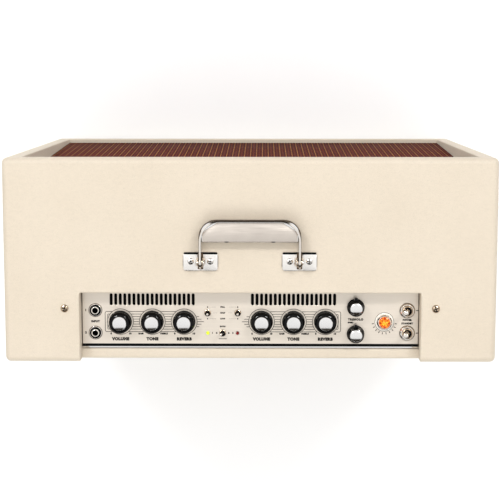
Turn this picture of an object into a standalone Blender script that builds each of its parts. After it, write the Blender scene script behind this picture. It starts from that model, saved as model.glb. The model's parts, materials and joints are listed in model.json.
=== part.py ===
"""Guitar combo amplifier: a vinyl-covered plywood cabinet with a tilted speaker baffle behind
grille cloth, a tube chassis hung under the top board, a control panel in a notch at the top
rear, a 12-inch speaker, a reverb tank and a folding handle.

Frame: +Z up, the grille faces -Y, the controls are read from behind, so the input jacks are
at +X. The origin is on the floor, under the middle of the cabinet. Metres.
"""

import math

import bmesh
import bpy
from mathutils import Matrix, Vector

MM = 0.001
GAP = 0.3 * MM  # air between pieces that rest on or beside each other

# Cabinet
WIDTH = 534 * MM
DEPTH = 222.6 * MM
CABINET_HEIGHT = 425 * MM
FOOT_HEIGHT = 12 * MM
BOARD = 18 * MM  # plywood with its vinyl
EDGE_ROUND = 6 * MM
BACK_BOARD = 11.7 * MM

BASE_Z = FOOT_HEIGHT
TOP_Z = BASE_Z + CABINET_HEIGHT
INNER_TOP_Z = TOP_Z - BOARD
INNER_BASE_Z = BASE_Z + BOARD
INNER_HALF_X = WIDTH / 2 - BOARD
FRONT_Y = -DEPTH / 2
REAR_Y = DEPTH / 2

# Notch in the top board that shows the control panel
NOTCH_HALF_X = 185.2 * MM
NOTCH_FRONT_Y = 35.1 * MM
NOTCH_ROUND = 2 * MM

# Tilted baffle: its recess behind the cabinet's front edge, at the bottom and at the top
RECESS_LOW = 4.8 * MM
RECESS_HIGH = 22.4 * MM
CLOTH = 1.2 * MM
BAFFLE = 12 * MM
BAFFLE_HALF_X = INNER_HALF_X - 0.6 * MM
BAFFLE_HALF_Z = 193.6 * MM
SPEAKER_HOLE_R = 141 * MM

# Speaker, measured rearwards from the baffle's rear face
FRAME_R = 155 * MM
FRAME_DEPTH = 64 * MM
MAGNET_R = 52 * MM
MAGNET_END = 114 * MM

# Back panels, with the open back between them
BACK_PANEL_Y = 99 * MM
UPPER_PANEL_Z = (346 * MM, INNER_TOP_Z - GAP)
LOWER_PANEL_Z = (INNER_BASE_Z + GAP, 176 * MM)

# Chassis tray and control panel
TRAY_HALF_X = 187.5 * MM
TRAY_Y = (22 * MM, 98.3 * MM)
TRAY_FLOOR_Z = 352 * MM
TRAY_RIM_Z = INNER_TOP_Z - 0.6 * MM
SHEET = 1.5 * MM
PANEL_Z = INNER_TOP_Z - GAP  # top face of the control panel
PANEL = 1.8 * MM
PANEL_HALF_X = 185.6 * MM
PANEL_Y = (24 * MM, 94.6 * MM)
VENT_COUNT = 19
VENT_PITCH = 5 * MM
VENT_WIDTH = 3 * MM
VENT_Y = (38.4 * MM, 51.6 * MM)
BOARD_Z = 405 * MM  # underside of the circuit board that carries the pots

# Places of the controls on the panel (x, y)
KNOB_ROW_Y = 69.7 * MM
KNOB_PITCH = 35 * MM
TONE_X = (107.5 * MM, -47.5 * MM)
TREMOLO_X = -115.7 * MM
TREMOLO_Y = (53.5 * MM, 83 * MM)
JACK_X = 170 * MM
POWER_X = -172.2 * MM
END_ROW_Y = (57 * MM, 82 * MM)
PILOT_X = -147.2 * MM
MINI_TOGGLES = {
    "toggle_level_1": (46.7 * MM, 59.9 * MM),
    "toggle_level_2": (13.7 * MM, 59.9 * MM),
    "toggle_channel": (30.2 * MM, 82.3 * MM),
}
LED_X = {"led_channel_1": 46.5 * MM, "led_channel_2": 13.9 * MM}
LED_Y = 82.3 * MM
LEVER_TILT = math.radians(12)

# Knobs
KNOB_R = 12.4 * MM
KNOB_HEIGHT = 15.5 * MM
SMALL_KNOB_R = 9.6 * MM
CAP_R = 7.4 * MM
SHAFT_R = 3 * MM

# Handle
HANDLE_HALF_X = 53.4 * MM
HANDLE_REACH = 45.7 * MM  # pivot to the outside of the frame's crossbar
HANDLE_CORNER = 22.5 * MM
STRAP = 2.2 * MM
STRAP_WIDTH = 13 * MM
PIVOT_Y = 0.6 * MM
PIVOT_Z = TOP_Z + 9.5 * MM
GRIP_DEPTH = 23.5 * MM
HANDLE_REST = -math.asin((PIVOT_Z - TOP_Z - STRAP_WIDTH / 2 - 0.5 * MM) / HANDLE_REACH)
BRACKET = (37 * MM, 19.3 * MM, 1.6 * MM)
PIN_R = 2 * MM

# Below the chassis
POWER_TUBES = {"power_tube_1": -38 * MM, "power_tube_2": 8 * MM}
PREAMP_TUBES = {"preamp_tube_1": 112 * MM, "preamp_tube_2": 141 * MM, "preamp_tube_3": 170 * MM}
TUBE_Y = 55 * MM
MAINS_XY = (-168 * MM, 66 * MM)
OUTPUT_JACK_XY = (-15 * MM, 86 * MM)


def clear_scene():
    for obj in list(bpy.data.objects):
        bpy.data.objects.remove(obj)


def make_collection(name):
    collection = bpy.data.collections.new(name)
    bpy.context.scene.collection.children.link(collection)
    return collection


clear_scene()
PARTS = make_collection("guitar_combo_amplifier")
CUTTERS = make_collection("cutters")


def make_material(name, colour, roughness, metallic=0.0):
    material = bpy.data.materials.new(name)
    material.use_nodes = True
    shader = material.node_tree.nodes["Principled BSDF"]
    shader.inputs["Base Color"].default_value = (*colour, 1.0)
    shader.inputs["Roughness"].default_value = roughness
    shader.inputs["Metallic"].default_value = metallic
    return material


VINYL = make_material("cream_vinyl", (0.86, 0.74, 0.58), 0.55)
PLYWOOD = make_material("birch_plywood", (0.66, 0.49, 0.31), 0.6)
CLOTH_RED = make_material("oxblood_cloth", (0.14, 0.03, 0.02), 0.85)
NICKEL = make_material("nickel", (0.78, 0.75, 0.7), 0.18, 1.0)
PANEL_METAL = make_material("brushed_panel", (0.72, 0.66, 0.57), 0.35, 1.0)
STEEL = make_material("zinc_steel", (0.55, 0.54, 0.5), 0.4, 1.0)
BLACK_GLOSS = make_material("black_gloss_plastic", (0.01, 0.01, 0.01), 0.15)
BLACK_PAINT = make_material("black_paint", (0.02, 0.02, 0.02), 0.45)
RUBBER = make_material("black_rubber", (0.02, 0.02, 0.02), 0.8)
GLASS = make_material("tube_glass", (0.8, 0.85, 0.85), 0.05)
AMBER = make_material("amber_jewel", (1.0, 0.35, 0.02), 0.1)
GREEN = make_material("green_lens", (0.6, 0.8, 0.05), 0.2)
RED = make_material("red_lens", (0.4, 0.01, 0.01), 0.2)
PAPER = make_material("cone_paper", (0.03, 0.03, 0.03), 0.9)
CIRCUIT = make_material("circuit_board", (0.02, 0.14, 0.05), 0.5)


def add_object(name, data, material=None, collection=PARTS):
    obj = bpy.data.objects.new(name, data)
    collection.objects.link(obj)
    if material:
        data.materials.append(material)
    return obj


def add_empty(name, location, tilt_x=0.0):
    empty = bpy.data.objects.new(name, None)
    PARTS.objects.link(empty)
    empty.location = location
    empty.rotation_euler = (tilt_x, 0, 0)
    return empty


def mesh_from(name, build):
    """A mesh of what build(bm) makes."""
    bm = bmesh.new()
    build(bm)
    bmesh.ops.recalc_face_normals(bm, faces=bm.faces)
    mesh = bpy.data.meshes.new(name)
    bm.to_mesh(mesh)
    bm.free()
    return mesh


def box_between(name, low, high, material=None, round_edges=0.0, collection=PARTS):
    """A box from its low corner to its high corner, with its origin at its middle."""
    low, high = Vector(low), Vector(high)

    def build(bm):
        bmesh.ops.create_cube(bm, size=1.0, matrix=Matrix.Diagonal((*(high - low), 1.0)))

    obj = add_object(name, mesh_from(name, build), material, collection)
    obj.location = (low + high) / 2
    if round_edges:
        add_bevel(obj, round_edges)
    return obj


def add_bevel(obj, width, segments=2):
    bevel = obj.modifiers.new("rounded_edges", "BEVEL")
    bevel.width = width
    bevel.segments = segments
    bevel.limit_method = "ANGLE"
    bevel.angle_limit = math.radians(40)
    return bevel


def round_plate(name, size, corner, material=None, segments=4, collection=PARTS):
    """A flat plate whose four upright edges are rounded."""

    def build(bm):
        bmesh.ops.create_cube(bm, size=1.0, matrix=Matrix.Diagonal((*size, 1.0)))
        upright = [e for e in bm.edges if abs(e.verts[0].co.z - e.verts[1].co.z) > size[2] / 2]
        bmesh.ops.bevel(
            bm, geom=upright, offset=corner, segments=segments, profile=0.5, affect="EDGES"
        )

    return add_object(name, mesh_from(name, build), material, collection)


def cylinder(name, radius, low, high, material=None, sides=16, collection=PARTS):
    """A cylinder along Z, or a hexagonal prism with sides=6, from height low to height high."""

    def build(bm):
        middle = Matrix.Translation((0, 0, (low + high) / 2))
        bmesh.ops.create_cone(
            bm, cap_ends=True, segments=sides, radius1=radius, radius2=radius,
            depth=high - low, matrix=middle,
        )

    return add_object(name, mesh_from(name, build), material, collection)


def turned(name, profile, material=None, steps=14, ring=False, collection=PARTS):
    """A solid of revolution about Z. The profile is (radius, height), top to bottom outside."""
    bm = bmesh.new()
    verts = [bm.verts.new((radius, 0, height)) for radius, height in profile]
    for first, second in zip(verts, verts[1:]):
        bm.edges.new((first, second))
    if ring:
        bm.edges.new((verts[-1], verts[0]))
    mesh = bpy.data.meshes.new(name)
    bm.to_mesh(mesh)
    bm.free()
    obj = add_object(name, mesh, material, collection)
    screw = obj.modifiers.new("turn", "SCREW")
    screw.steps = steps
    screw.render_steps = steps
    screw.use_merge_vertices = True
    screw.merge_threshold = 0.01 * MM
    screw.use_smooth_shade = True
    return obj


def boolean(obj, other, operation):
    """Cuts other from obj, or joins it to obj; other is then only a helper."""
    for collection in list(other.users_collection):
        collection.objects.unlink(other)
    CUTTERS.objects.link(other)
    other.hide_render = True
    other.display_type = "WIRE"
    modifier = obj.modifiers.new(operation.lower(), "BOOLEAN")
    modifier.operation = operation
    modifier.object = other
    modifier.solver = "EXACT"


def cut(obj, *cutters):
    for cutter in cutters:
        boolean(obj, cutter, "DIFFERENCE")


def unite(obj, *others):
    for other in others:
        boolean(obj, other, "UNION")


def place(obj, location, parent=None, rotation=(0, 0, 0)):
    obj.parent = parent
    obj.location = location
    obj.rotation_euler = rotation
    return obj


def drill(obj, name, places, radius, low, high, sides=12):
    """Cuts one round hole along Z at each (x, y) of places, from height low to high."""

    def build(bm):
        for x, y in places:
            bmesh.ops.create_cone(
                bm, cap_ends=True, segments=sides, radius1=radius, radius2=radius,
                depth=high - low, matrix=Matrix.Translation((x, y, (low + high) / 2)),
            )

    cut(obj, add_object(name, mesh_from(name, build), collection=CUTTERS))


def build_cabinet():
    for name, sign in (("side_board_left", 1), ("side_board_right", -1)):
        xs = sorted((sign * INNER_HALF_X, sign * WIDTH / 2))
        box_between(
            name, (xs[0], FRONT_Y, BASE_Z), (xs[1], REAR_Y, TOP_Z), VINYL, EDGE_ROUND
        )
    end_x = INNER_HALF_X - GAP
    box_between(
        "bottom_board", (-end_x, FRONT_Y, BASE_Z), (end_x, REAR_Y, INNER_BASE_Z), VINYL, 2 * MM
    )
    top = box_between(
        "top_board", (-end_x, FRONT_Y, INNER_TOP_Z), (end_x, REAR_Y, TOP_Z), VINYL, 2 * MM
    )
    length_y = 2 * (REAR_Y - NOTCH_FRONT_Y)
    notch = round_plate(
        "notch_cutter", (2 * NOTCH_HALF_X, length_y, 3 * BOARD), NOTCH_ROUND
    )
    place(notch, (0, REAR_Y, TOP_Z))
    cut(top, notch)


def build_feet():
    profile = [
        (0, FOOT_HEIGHT - GAP),
        (16 * MM, FOOT_HEIGHT - GAP),
        (14 * MM, 1.5 * MM),
        (12.5 * MM, 0),
        (5 * MM, 0),
        (5 * MM, 5 * MM),
        (0, 5 * MM),
    ]
    for side, x in (("left", 222 * MM), ("right", -222 * MM)):
        for end, y in (("front", -82 * MM), ("rear", 82 * MM)):
            place(turned(f"foot_{end}_{side}", profile, RUBBER), (x, y, 0))


def baffle_frame():
    """An empty at the middle of the cloth's face: its Y runs rearwards through the baffle."""
    inner_height = INNER_TOP_Z - INNER_BASE_Z
    tilt = math.atan((RECESS_HIGH - RECESS_LOW) / inner_height)
    middle_y = FRONT_Y + (RECESS_LOW + RECESS_HIGH) / 2
    return add_empty(
        "baffle_frame", (0, middle_y, (INNER_TOP_Z + INNER_BASE_Z) / 2), -tilt
    )


def build_baffle(frame):
    half_x, half_z = BAFFLE_HALF_X, BAFFLE_HALF_Z
    cloth = box_between("grille_cloth", (-half_x, 0, -half_z), (half_x, CLOTH, half_z), CLOTH_RED)
    cloth.parent = frame
    front = CLOTH + GAP
    baffle = box_between(
        "speaker_baffle", (-half_x, front, -half_z), (half_x, front + BAFFLE, half_z), BLACK_PAINT
    )
    baffle.parent = frame
    hole = cylinder("baffle_hole_cutter", SPEAKER_HOLE_R, -BAFFLE, 3 * BAFFLE, sides=36)
    place(hole, (0, 0, 0), frame, (-math.pi / 2, 0, 0))
    cut(baffle, hole)


def window_cutter(angle):
    """A wedge that opens one window of the speaker's basket."""
    inner, outer, half_angle = 70 * MM, 126 * MM, math.radians(19)
    low, high = 6 * MM, 61 * MM

    def build(bm):
        made = bmesh.ops.create_cube(bm, size=2.0)
        for vert in made["verts"]:
            radius = outer if vert.co.x > 0 else inner
            side = vert.co.y * radius * math.tan(half_angle)
            height = high if vert.co.z > 0 else low
            vert.co = (radius, side, height)

    cutter = add_object("window_cutter", mesh_from("window_cutter", build), collection=CUTTERS)
    cutter.rotation_euler = (0, 0, angle)
    return cutter


def build_speaker(frame):
    """The speaker's own frame: its Z runs rearwards from the baffle's rear face."""
    seat_y = CLOTH + GAP + BAFFLE + GAP
    axis = add_empty("speaker_axis", (0, seat_y, 0), -math.pi / 2)
    axis.parent = frame

    sheet = [
        (22 * MM, FRAME_DEPTH),
        (62 * MM, FRAME_DEPTH),
        (140 * MM, 14 * MM),
        (144 * MM, 3 * MM),
        (FRAME_R, 3 * MM),
        (FRAME_R, 0),
        (141 * MM, 0),
        (137.5 * MM, 12.5 * MM),
        (61 * MM, 61.8 * MM),
        (22 * MM, 61.8 * MM),
    ]
    basket = turned("speaker_frame", sheet, STEEL, 30, ring=True)
    basket.parent = axis
    for index in range(6):
        cutter = window_cutter(math.radians(30 + 60 * index))
        cutter.parent = axis
        cut(basket, cutter)
    terminals = box_between(
        "terminal_block", (-81 * MM, -9 * MM, 52 * MM), (-65 * MM, 9 * MM, 60 * MM)
    )
    terminals.parent = axis
    unite(basket, terminals)

    magnet = [
        (0, MAGNET_END),
        (38 * MM, MAGNET_END),
        (MAGNET_R - 4 * MM, MAGNET_END - 4 * MM),
        (MAGNET_R, MAGNET_END - 12 * MM),
        (MAGNET_R, 71 * MM),
        (58 * MM, 71 * MM),
        (58 * MM, FRAME_DEPTH + GAP),
        (0, FRAME_DEPTH + GAP),
    ]
    turned("speaker_magnet", magnet, BLACK_PAINT, 24).parent = axis

    behind_cap = [(0, 32.2), (15.5, 34.2), (29, 39.4), (37, 45.8), (18.8, 50.6)]
    voice_coil = [(18.8, 60), (20, 60), (20, 51.9)]
    rear = [(42, 46.1), (60, 36.5), (86, 23.5), (112, 13), (136, 5.5)]
    front = [(136, 4), (112, 11.5), (86, 22), (60, 35), (42, 44.5)]
    cap = [(38.5, 43), (30, 38), (16, 33), (0, 31)]
    outline = behind_cap + voice_coil + rear + front + cap
    profile = [(radius * MM, height * MM) for radius, height in outline]
    turned("speaker_cone", profile, PAPER, 24).parent = axis


def build_back_panels():
    half_x = INNER_HALF_X - 0.6 * MM
    for name, (low, high) in (
        ("back_panel_upper", UPPER_PANEL_Z),
        ("back_panel_lower", LOWER_PANEL_Z),
    ):
        box_between(
            name,
            (-half_x, BACK_PANEL_Y, low),
            (half_x, BACK_PANEL_Y + BACK_BOARD, high),
            VINYL,
            2 * MM,
        )


def build_tray():
    half_x, (low_y, high_y) = TRAY_HALF_X, TRAY_Y
    tray = box_between(
        "chassis_tray", (-half_x, low_y, TRAY_FLOOR_Z), (half_x, high_y, TRAY_RIM_Z), STEEL
    )
    inside = box_between(
        "tray_inside_cutter",
        (-half_x + SHEET, low_y + SHEET, TRAY_FLOOR_Z + SHEET),
        (half_x - SHEET, high_y - SHEET, TRAY_RIM_Z + BOARD),
    )
    cut(tray, inside)
    ear_z = (TRAY_RIM_Z - SHEET, TRAY_RIM_Z)
    for name, sign in (("ear_left", 1), ("ear_right", -1)):
        xs = sorted((sign * (half_x - SHEET / 2), sign * 215 * MM))
        unite(tray, box_between(name, (xs[0], 36 * MM, ear_z[0]), (xs[1], 76 * MM, ear_z[1])))
    shelf_top = PANEL_Z - PANEL - GAP
    for name, ys in (
        ("shelf_front", (low_y + SHEET / 2, 31 * MM)),
        ("shelf_rear", (91.5 * MM, high_y - SHEET / 2)),
    ):
        low = (-half_x + SHEET / 2, ys[0], shelf_top - SHEET)
        high = (half_x - SHEET / 2, ys[1], shelf_top)
        unite(tray, box_between(name, low, high))
    floor = (TRAY_FLOOR_Z - SHEET, TRAY_FLOOR_Z + 2 * SHEET)
    drill(tray, "power_socket_cutter", [(x, TUBE_Y) for x in POWER_TUBES.values()], 12 * MM, *floor)
    drill(tray, "preamp_socket_cutter", [(x, TUBE_Y) for x in PREAMP_TUBES.values()], 9 * MM, *floor)
    drill(tray, "output_jack_cutter", [OUTPUT_JACK_XY], 5.1 * MM, *floor)
    mains_x, mains_y = MAINS_XY
    mains = box_between(
        "mains_cutter",
        (mains_x - 13.5 * MM, mains_y - 10.5 * MM, floor[0]),
        (mains_x + 13.5 * MM, mains_y + 10.5 * MM, floor[1]),
    )
    cut(tray, mains)
    ear_holes = [(201.2 * MM, 52 * MM), (-201.2 * MM, 52 * MM)]
    drill(tray, "ear_hole_cutter", ear_holes, 2.4 * MM, ear_z[0] - SHEET, ear_z[1] + SHEET, 12)


def vent_cutter():
    """All the vent slots as upright prisms with round ends."""
    radius = VENT_WIDTH / 2
    middle_y = sum(VENT_Y) / 2
    straight = VENT_Y[1] - VENT_Y[0] - VENT_WIDTH

    def build(bm):
        for group_x in TONE_X:
            for index in range(VENT_COUNT):
                x = group_x + (index - (VENT_COUNT - 1) / 2) * VENT_PITCH
                centre = Matrix.Translation((x, middle_y, PANEL_Z - PANEL / 2))
                made = bmesh.ops.create_cone(
                    bm, cap_ends=True, segments=6, radius1=radius, radius2=radius, depth=4 * PANEL,
                )
                for vert in made["verts"]:
                    vert.co = Matrix.Rotation(math.radians(30), 3, "Z") @ vert.co
                    vert.co.y += math.copysign(straight / 2, vert.co.y)
                    vert.co = centre @ vert.co

    return add_object("vent_cutter", mesh_from("vent_cutter", build), collection=CUTTERS)


def knob_places():
    """Each knob's name and its place (x, y) on the panel."""
    places = {}
    for number, tone_x in enumerate(TONE_X, start=1):
        for step, use in ((1, "volume"), (0, "tone"), (-1, "reverb")):
            places[f"knob_{use}_{number}"] = (tone_x + step * KNOB_PITCH, KNOB_ROW_Y)
    places["knob_tremolo_depth"] = (TREMOLO_X, TREMOLO_Y[0])
    places["knob_tremolo_speed"] = (TREMOLO_X, TREMOLO_Y[1])
    return places


def build_control_panel():
    low, high = PANEL_Z - PANEL, PANEL_Z
    panel = box_between(
        "control_panel",
        (-PANEL_HALF_X, PANEL_Y[0], low),
        (PANEL_HALF_X, PANEL_Y[1], high),
        PANEL_METAL,
    )
    cut(panel, vent_cutter())
    span = (low - PANEL, high + PANEL)
    drill(panel, "shaft_cutter", list(knob_places().values()), 3.9 * MM, *span, 10)
    drill(panel, "mini_cutter", list(MINI_TOGGLES.values()), 3.3 * MM, *span, 10)
    drill(panel, "jack_cutter", [(JACK_X, y) for y in END_ROW_Y], 5.1 * MM, *span)
    drill(panel, "power_cutter", [(POWER_X, y) for y in END_ROW_Y], 6.4 * MM, *span)
    drill(panel, "pilot_cutter", [(PILOT_X, KNOB_ROW_Y)], 6 * MM, *span)
    drill(panel, "led_cutter", [(x, LED_Y) for x in LED_X.values()], 1.9 * MM, *span, 8)


def build_knobs():
    shaft_low = BOARD_Z + 2.4 * MM - PANEL_Z
    under = 0.7 * MM
    main_profile = [
        (0, KNOB_HEIGHT),
        (CAP_R + 0.6 * MM, KNOB_HEIGHT),
        (CAP_R + 1.6 * MM, KNOB_HEIGHT - 1 * MM),
        (10.8 * MM, 9 * MM),
        (11.6 * MM, 3 * MM),
        (KNOB_R, 2.2 * MM),
        (KNOB_R, under),
        (SHAFT_R, under),
        (SHAFT_R, shaft_low),
        (0, shaft_low),
    ]
    small_profile = [
        (0, KNOB_HEIGHT - 1 * MM),
        (CAP_R + 0.4 * MM, KNOB_HEIGHT - 1 * MM),
        (SMALL_KNOB_R - 0.3 * MM, KNOB_HEIGHT - 3 * MM),
        (SMALL_KNOB_R, 2 * MM),
        (SMALL_KNOB_R, under),
        (SHAFT_R, under),
        (SHAFT_R, shaft_low),
        (0, shaft_low),
    ]
    for name, (x, y) in knob_places().items():
        small = "tremolo" in name
        knob = turned(name, small_profile if small else main_profile, BLACK_GLOSS)
        place(knob, (x, y, PANEL_Z))
        if small:
            nose = box_between(
                f"{name}_nose",
                (-2.2 * MM, -SMALL_KNOB_R - 2.2 * MM, 1.2 * MM),
                (2.2 * MM, -SMALL_KNOB_R + 3 * MM, 9 * MM),
            )
            nose.parent = knob
            unite(knob, nose)


def mini_switch(name, x, y):
    """A miniature toggle switch's body, bushing and nut, with the bore its lever stands in."""
    body = box_between(
        f"{name}_body",
        (x - 3.4 * MM, y - 3.4 * MM, BOARD_Z + 1 * MM),
        (x + 3.4 * MM, y + 3.4 * MM, PANEL_Z - PANEL - 0.8 * MM),
    )
    bushing = cylinder(
        f"{name}_bushing", 2.9 * MM, PANEL_Z - PANEL - 2 * MM, PANEL_Z + 4.5 * MM, sides=10
    )
    nut = cylinder(f"{name}_nut", 4.3 * MM, PANEL_Z + GAP, PANEL_Z + 2.2 * MM, sides=6)
    bore = cylinder(f"{name}_bore", 1.95 * MM, PANEL_Z, PANEL_Z + 9 * MM, sides=10)
    for piece in (bushing, nut, bore):
        piece.location = (x, y, 0)
    return body, bushing, nut, bore


def build_control_board():
    """The circuit board under the panel with its pots and miniature switches."""
    low_x, high_x = -127 * MM, 157 * MM
    board = box_between(
        "control_board", (low_x, 43 * MM, BOARD_Z), (high_x, 93.5 * MM, BOARD_Z + 1.6 * MM), CIRCUIT
    )
    pot = [
        (3.4 * MM, 11 * MM),
        (5 * MM, 11 * MM),
        (5 * MM, 8 * MM),
        (8.2 * MM, 8 * MM),
        (8.2 * MM, 1 * MM),
        (3.4 * MM, 1 * MM),
    ]
    for name, (x, y) in knob_places().items():
        can = turned(name.replace("knob", "pot"), pot, STEEL, 10, ring=True)
        place(can, (x, y, BOARD_Z))
        unite(board, can)
    for name, (x, y) in MINI_TOGGLES.items():
        body, bushing, nut, bore = mini_switch(name, x, y)
        unite(board, body, bushing, nut)
        cut(board, bore)


def lever_profile(length, ball, neck, tip):
    """A toggle's lever about its pivot, from its round tip down to its ball."""
    return [
        (0, length),
        (tip * 0.7, length - tip * 0.3),
        (tip, length - tip),
        (tip * 0.92, length - tip * 2),
        (neck, ball * 1.3),
        (ball * 0.8, ball * 0.6),
        (ball, 0),
        (ball * 0.7, -ball * 0.7),
        (0, -ball),
    ]


def build_toggles():
    big = lever_profile(16.5 * MM, 3 * MM, 1.8 * MM, 3 * MM)
    for name, y in zip(("toggle_power", "toggle_standby"), END_ROW_Y):
        switch = cylinder(
            name.replace("toggle", "switch"), 5.9 * MM, -5 * MM, 5.5 * MM, NICKEL, 14
        )
        nut = cylinder(f"{name}_nut", 8.6 * MM, GAP, 3 * MM, sides=6)
        body = box_between(
            f"{name}_body", (-12.8 * MM, -6.5 * MM, -23 * MM), (12.8 * MM, 6.5 * MM, -2.6 * MM)
        )
        bore = cylinder(f"{name}_bore", 3.7 * MM, -2 * MM, 9 * MM, sides=12)
        for piece in (nut, body, bore):
            piece.parent = switch
        place(switch, (POWER_X, y, PANEL_Z))
        unite(switch, nut, body)
        cut(switch, bore)
        lever = turned(name, big, NICKEL, 10)
        place(lever, (POWER_X, y, PANEL_Z + 2.6 * MM), rotation=(0, LEVER_TILT, 0))
    small = lever_profile(9.5 * MM, 1.6 * MM, 0.85 * MM, 1.5 * MM)
    for name, (x, y) in MINI_TOGGLES.items():
        lever = turned(name, small, NICKEL, 8)
        tilt = LEVER_TILT if name == "toggle_channel" else 0.0
        place(lever, (x, y, PANEL_Z + 2.4 * MM), rotation=(0, tilt, 0))


def jack_profile(depth):
    """A jack's ferrule, threaded neck and body, with the bore its plug goes into."""
    bore, neck, body = 3.25 * MM, 4.7 * MM, 7.2 * MM
    return [
        (0, -depth),
        (bore, -depth),
        (bore, 3.4 * MM),
        (neck, 3.4 * MM),
        (neck, -2.6 * MM),
        (body, -2.6 * MM),
        (body, -depth - 2 * MM),
        (0, -depth - 2 * MM),
    ]


def build_jacks():
    for number, y in enumerate(END_ROW_Y, start=1):
        jack = turned(f"input_jack_{number}", jack_profile(26 * MM), BLACK_GLOSS, 12)
        nut = cylinder(f"input_nut_{number}", 7.3 * MM, GAP, 2.4 * MM, sides=12)
        nut_bore = cylinder(f"input_nut_bore_{number}", 4.4 * MM, -1 * MM, 4 * MM, sides=12)
        cut(nut, nut_bore)
        nut.parent = jack
        nut_bore.parent = jack
        place(jack, (JACK_X, y, PANEL_Z))
        unite(jack, nut)
    output = turned("speaker_output_jack", jack_profile(22 * MM), BLACK_GLOSS, 12)
    nut = cylinder("output_nut", 7 * MM, GAP, 2.4 * MM, sides=6)
    nut_bore = cylinder("output_nut_bore", 4.4 * MM, -1 * MM, 4 * MM, sides=12)
    cut(nut, nut_bore)
    nut.parent = output
    nut_bore.parent = output
    place(output, (*OUTPUT_JACK_XY, TRAY_FLOOR_Z), rotation=(math.pi, 0, 0))
    unite(output, nut)


def build_lamps():
    bezel = [
        (0, 1.2 * MM),
        (6.8 * MM, 1.2 * MM),
        (6.8 * MM, 4.6 * MM),
        (7.5 * MM, 4.6 * MM),
        (8.5 * MM, 2.4 * MM),
        (8.5 * MM, GAP),
        (5.6 * MM, GAP),
        (5.6 * MM, -14 * MM),
        (0, -14 * MM),
    ]
    place(turned("pilot_bezel", bezel, NICKEL, 16), (PILOT_X, KNOB_ROW_Y, PANEL_Z))
    jewel = [
        (0, 10 * MM),
        (2.8 * MM, 9.4 * MM),
        (5.2 * MM, 7.2 * MM),
        (6.4 * MM, 4.4 * MM),
        (6.4 * MM, 1.5 * MM),
        (0, 1.5 * MM),
    ]
    place(turned("pilot_jewel", jewel, AMBER, 10), (PILOT_X, KNOB_ROW_Y, PANEL_Z))
    lens = [
        (0, 2.2 * MM),
        (1 * MM, 1.8 * MM),
        (1.55 * MM, 0.6 * MM),
        (1.55 * MM, -5 * MM),
        (0, -5 * MM),
    ]
    for name, x in LED_X.items():
        colour = GREEN if name.endswith("1") else RED
        place(turned(name, lens, colour, 8), (x, LED_Y, PANEL_Z))


def arc_points(centre, radius, start, end, count):
    """Points along an arc in the XY plane, with start and end in degrees."""
    found = []
    for index in range(count + 1):
        angle = math.radians(start + (end - start) * index / count)
        found.append(centre + Vector((math.cos(angle), math.sin(angle))) * radius)
    return found


def handle_outline(half_x, reach, corner, foot_y, count=4):
    """An upturned U in the handle's plane: its crossbar at -reach, its feet at foot_y."""
    left = Vector((half_x - corner, -reach + corner))
    right = Vector((-half_x + corner, -reach + corner))
    points = [Vector((half_x, foot_y))]
    points += arc_points(left, corner, 0, -90, count)
    points += arc_points(right, corner, -90, -180, count)
    points.append(Vector((-half_x, foot_y)))
    return points


def prism(name, outline, low, high, material=None):
    """A flat outline, given as (x, y) points, extruded from height low to height high."""
    curve = bpy.data.curves.new(name, "CURVE")
    curve.dimensions = "2D"
    curve.fill_mode = "BOTH"
    curve.extrude = (high - low) / 2
    spline = curve.splines.new("POLY")
    spline.points.add(len(outline) - 1)
    for point, (x, y) in zip(spline.points, outline):
        point.co = (x, y, 0, 1)
    spline.use_cyclic_u = True
    guide = add_object(f"{name}_outline", curve)
    bpy.context.view_layer.update()
    graph = bpy.context.evaluated_depsgraph_get()
    mesh = bpy.data.meshes.new_from_object(guide.evaluated_get(graph))
    bpy.data.objects.remove(guide)
    bm = bmesh.new()
    bm.from_mesh(mesh)
    bmesh.ops.remove_doubles(bm, verts=bm.verts, dist=0.001 * MM)
    bmesh.ops.translate(bm, verts=bm.verts, vec=(0, 0, (high + low) / 2))
    bmesh.ops.recalc_face_normals(bm, faces=bm.faces)
    bm.to_mesh(mesh)
    bm.free()
    mesh.name = name
    return add_object(name, mesh, material)


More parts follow.
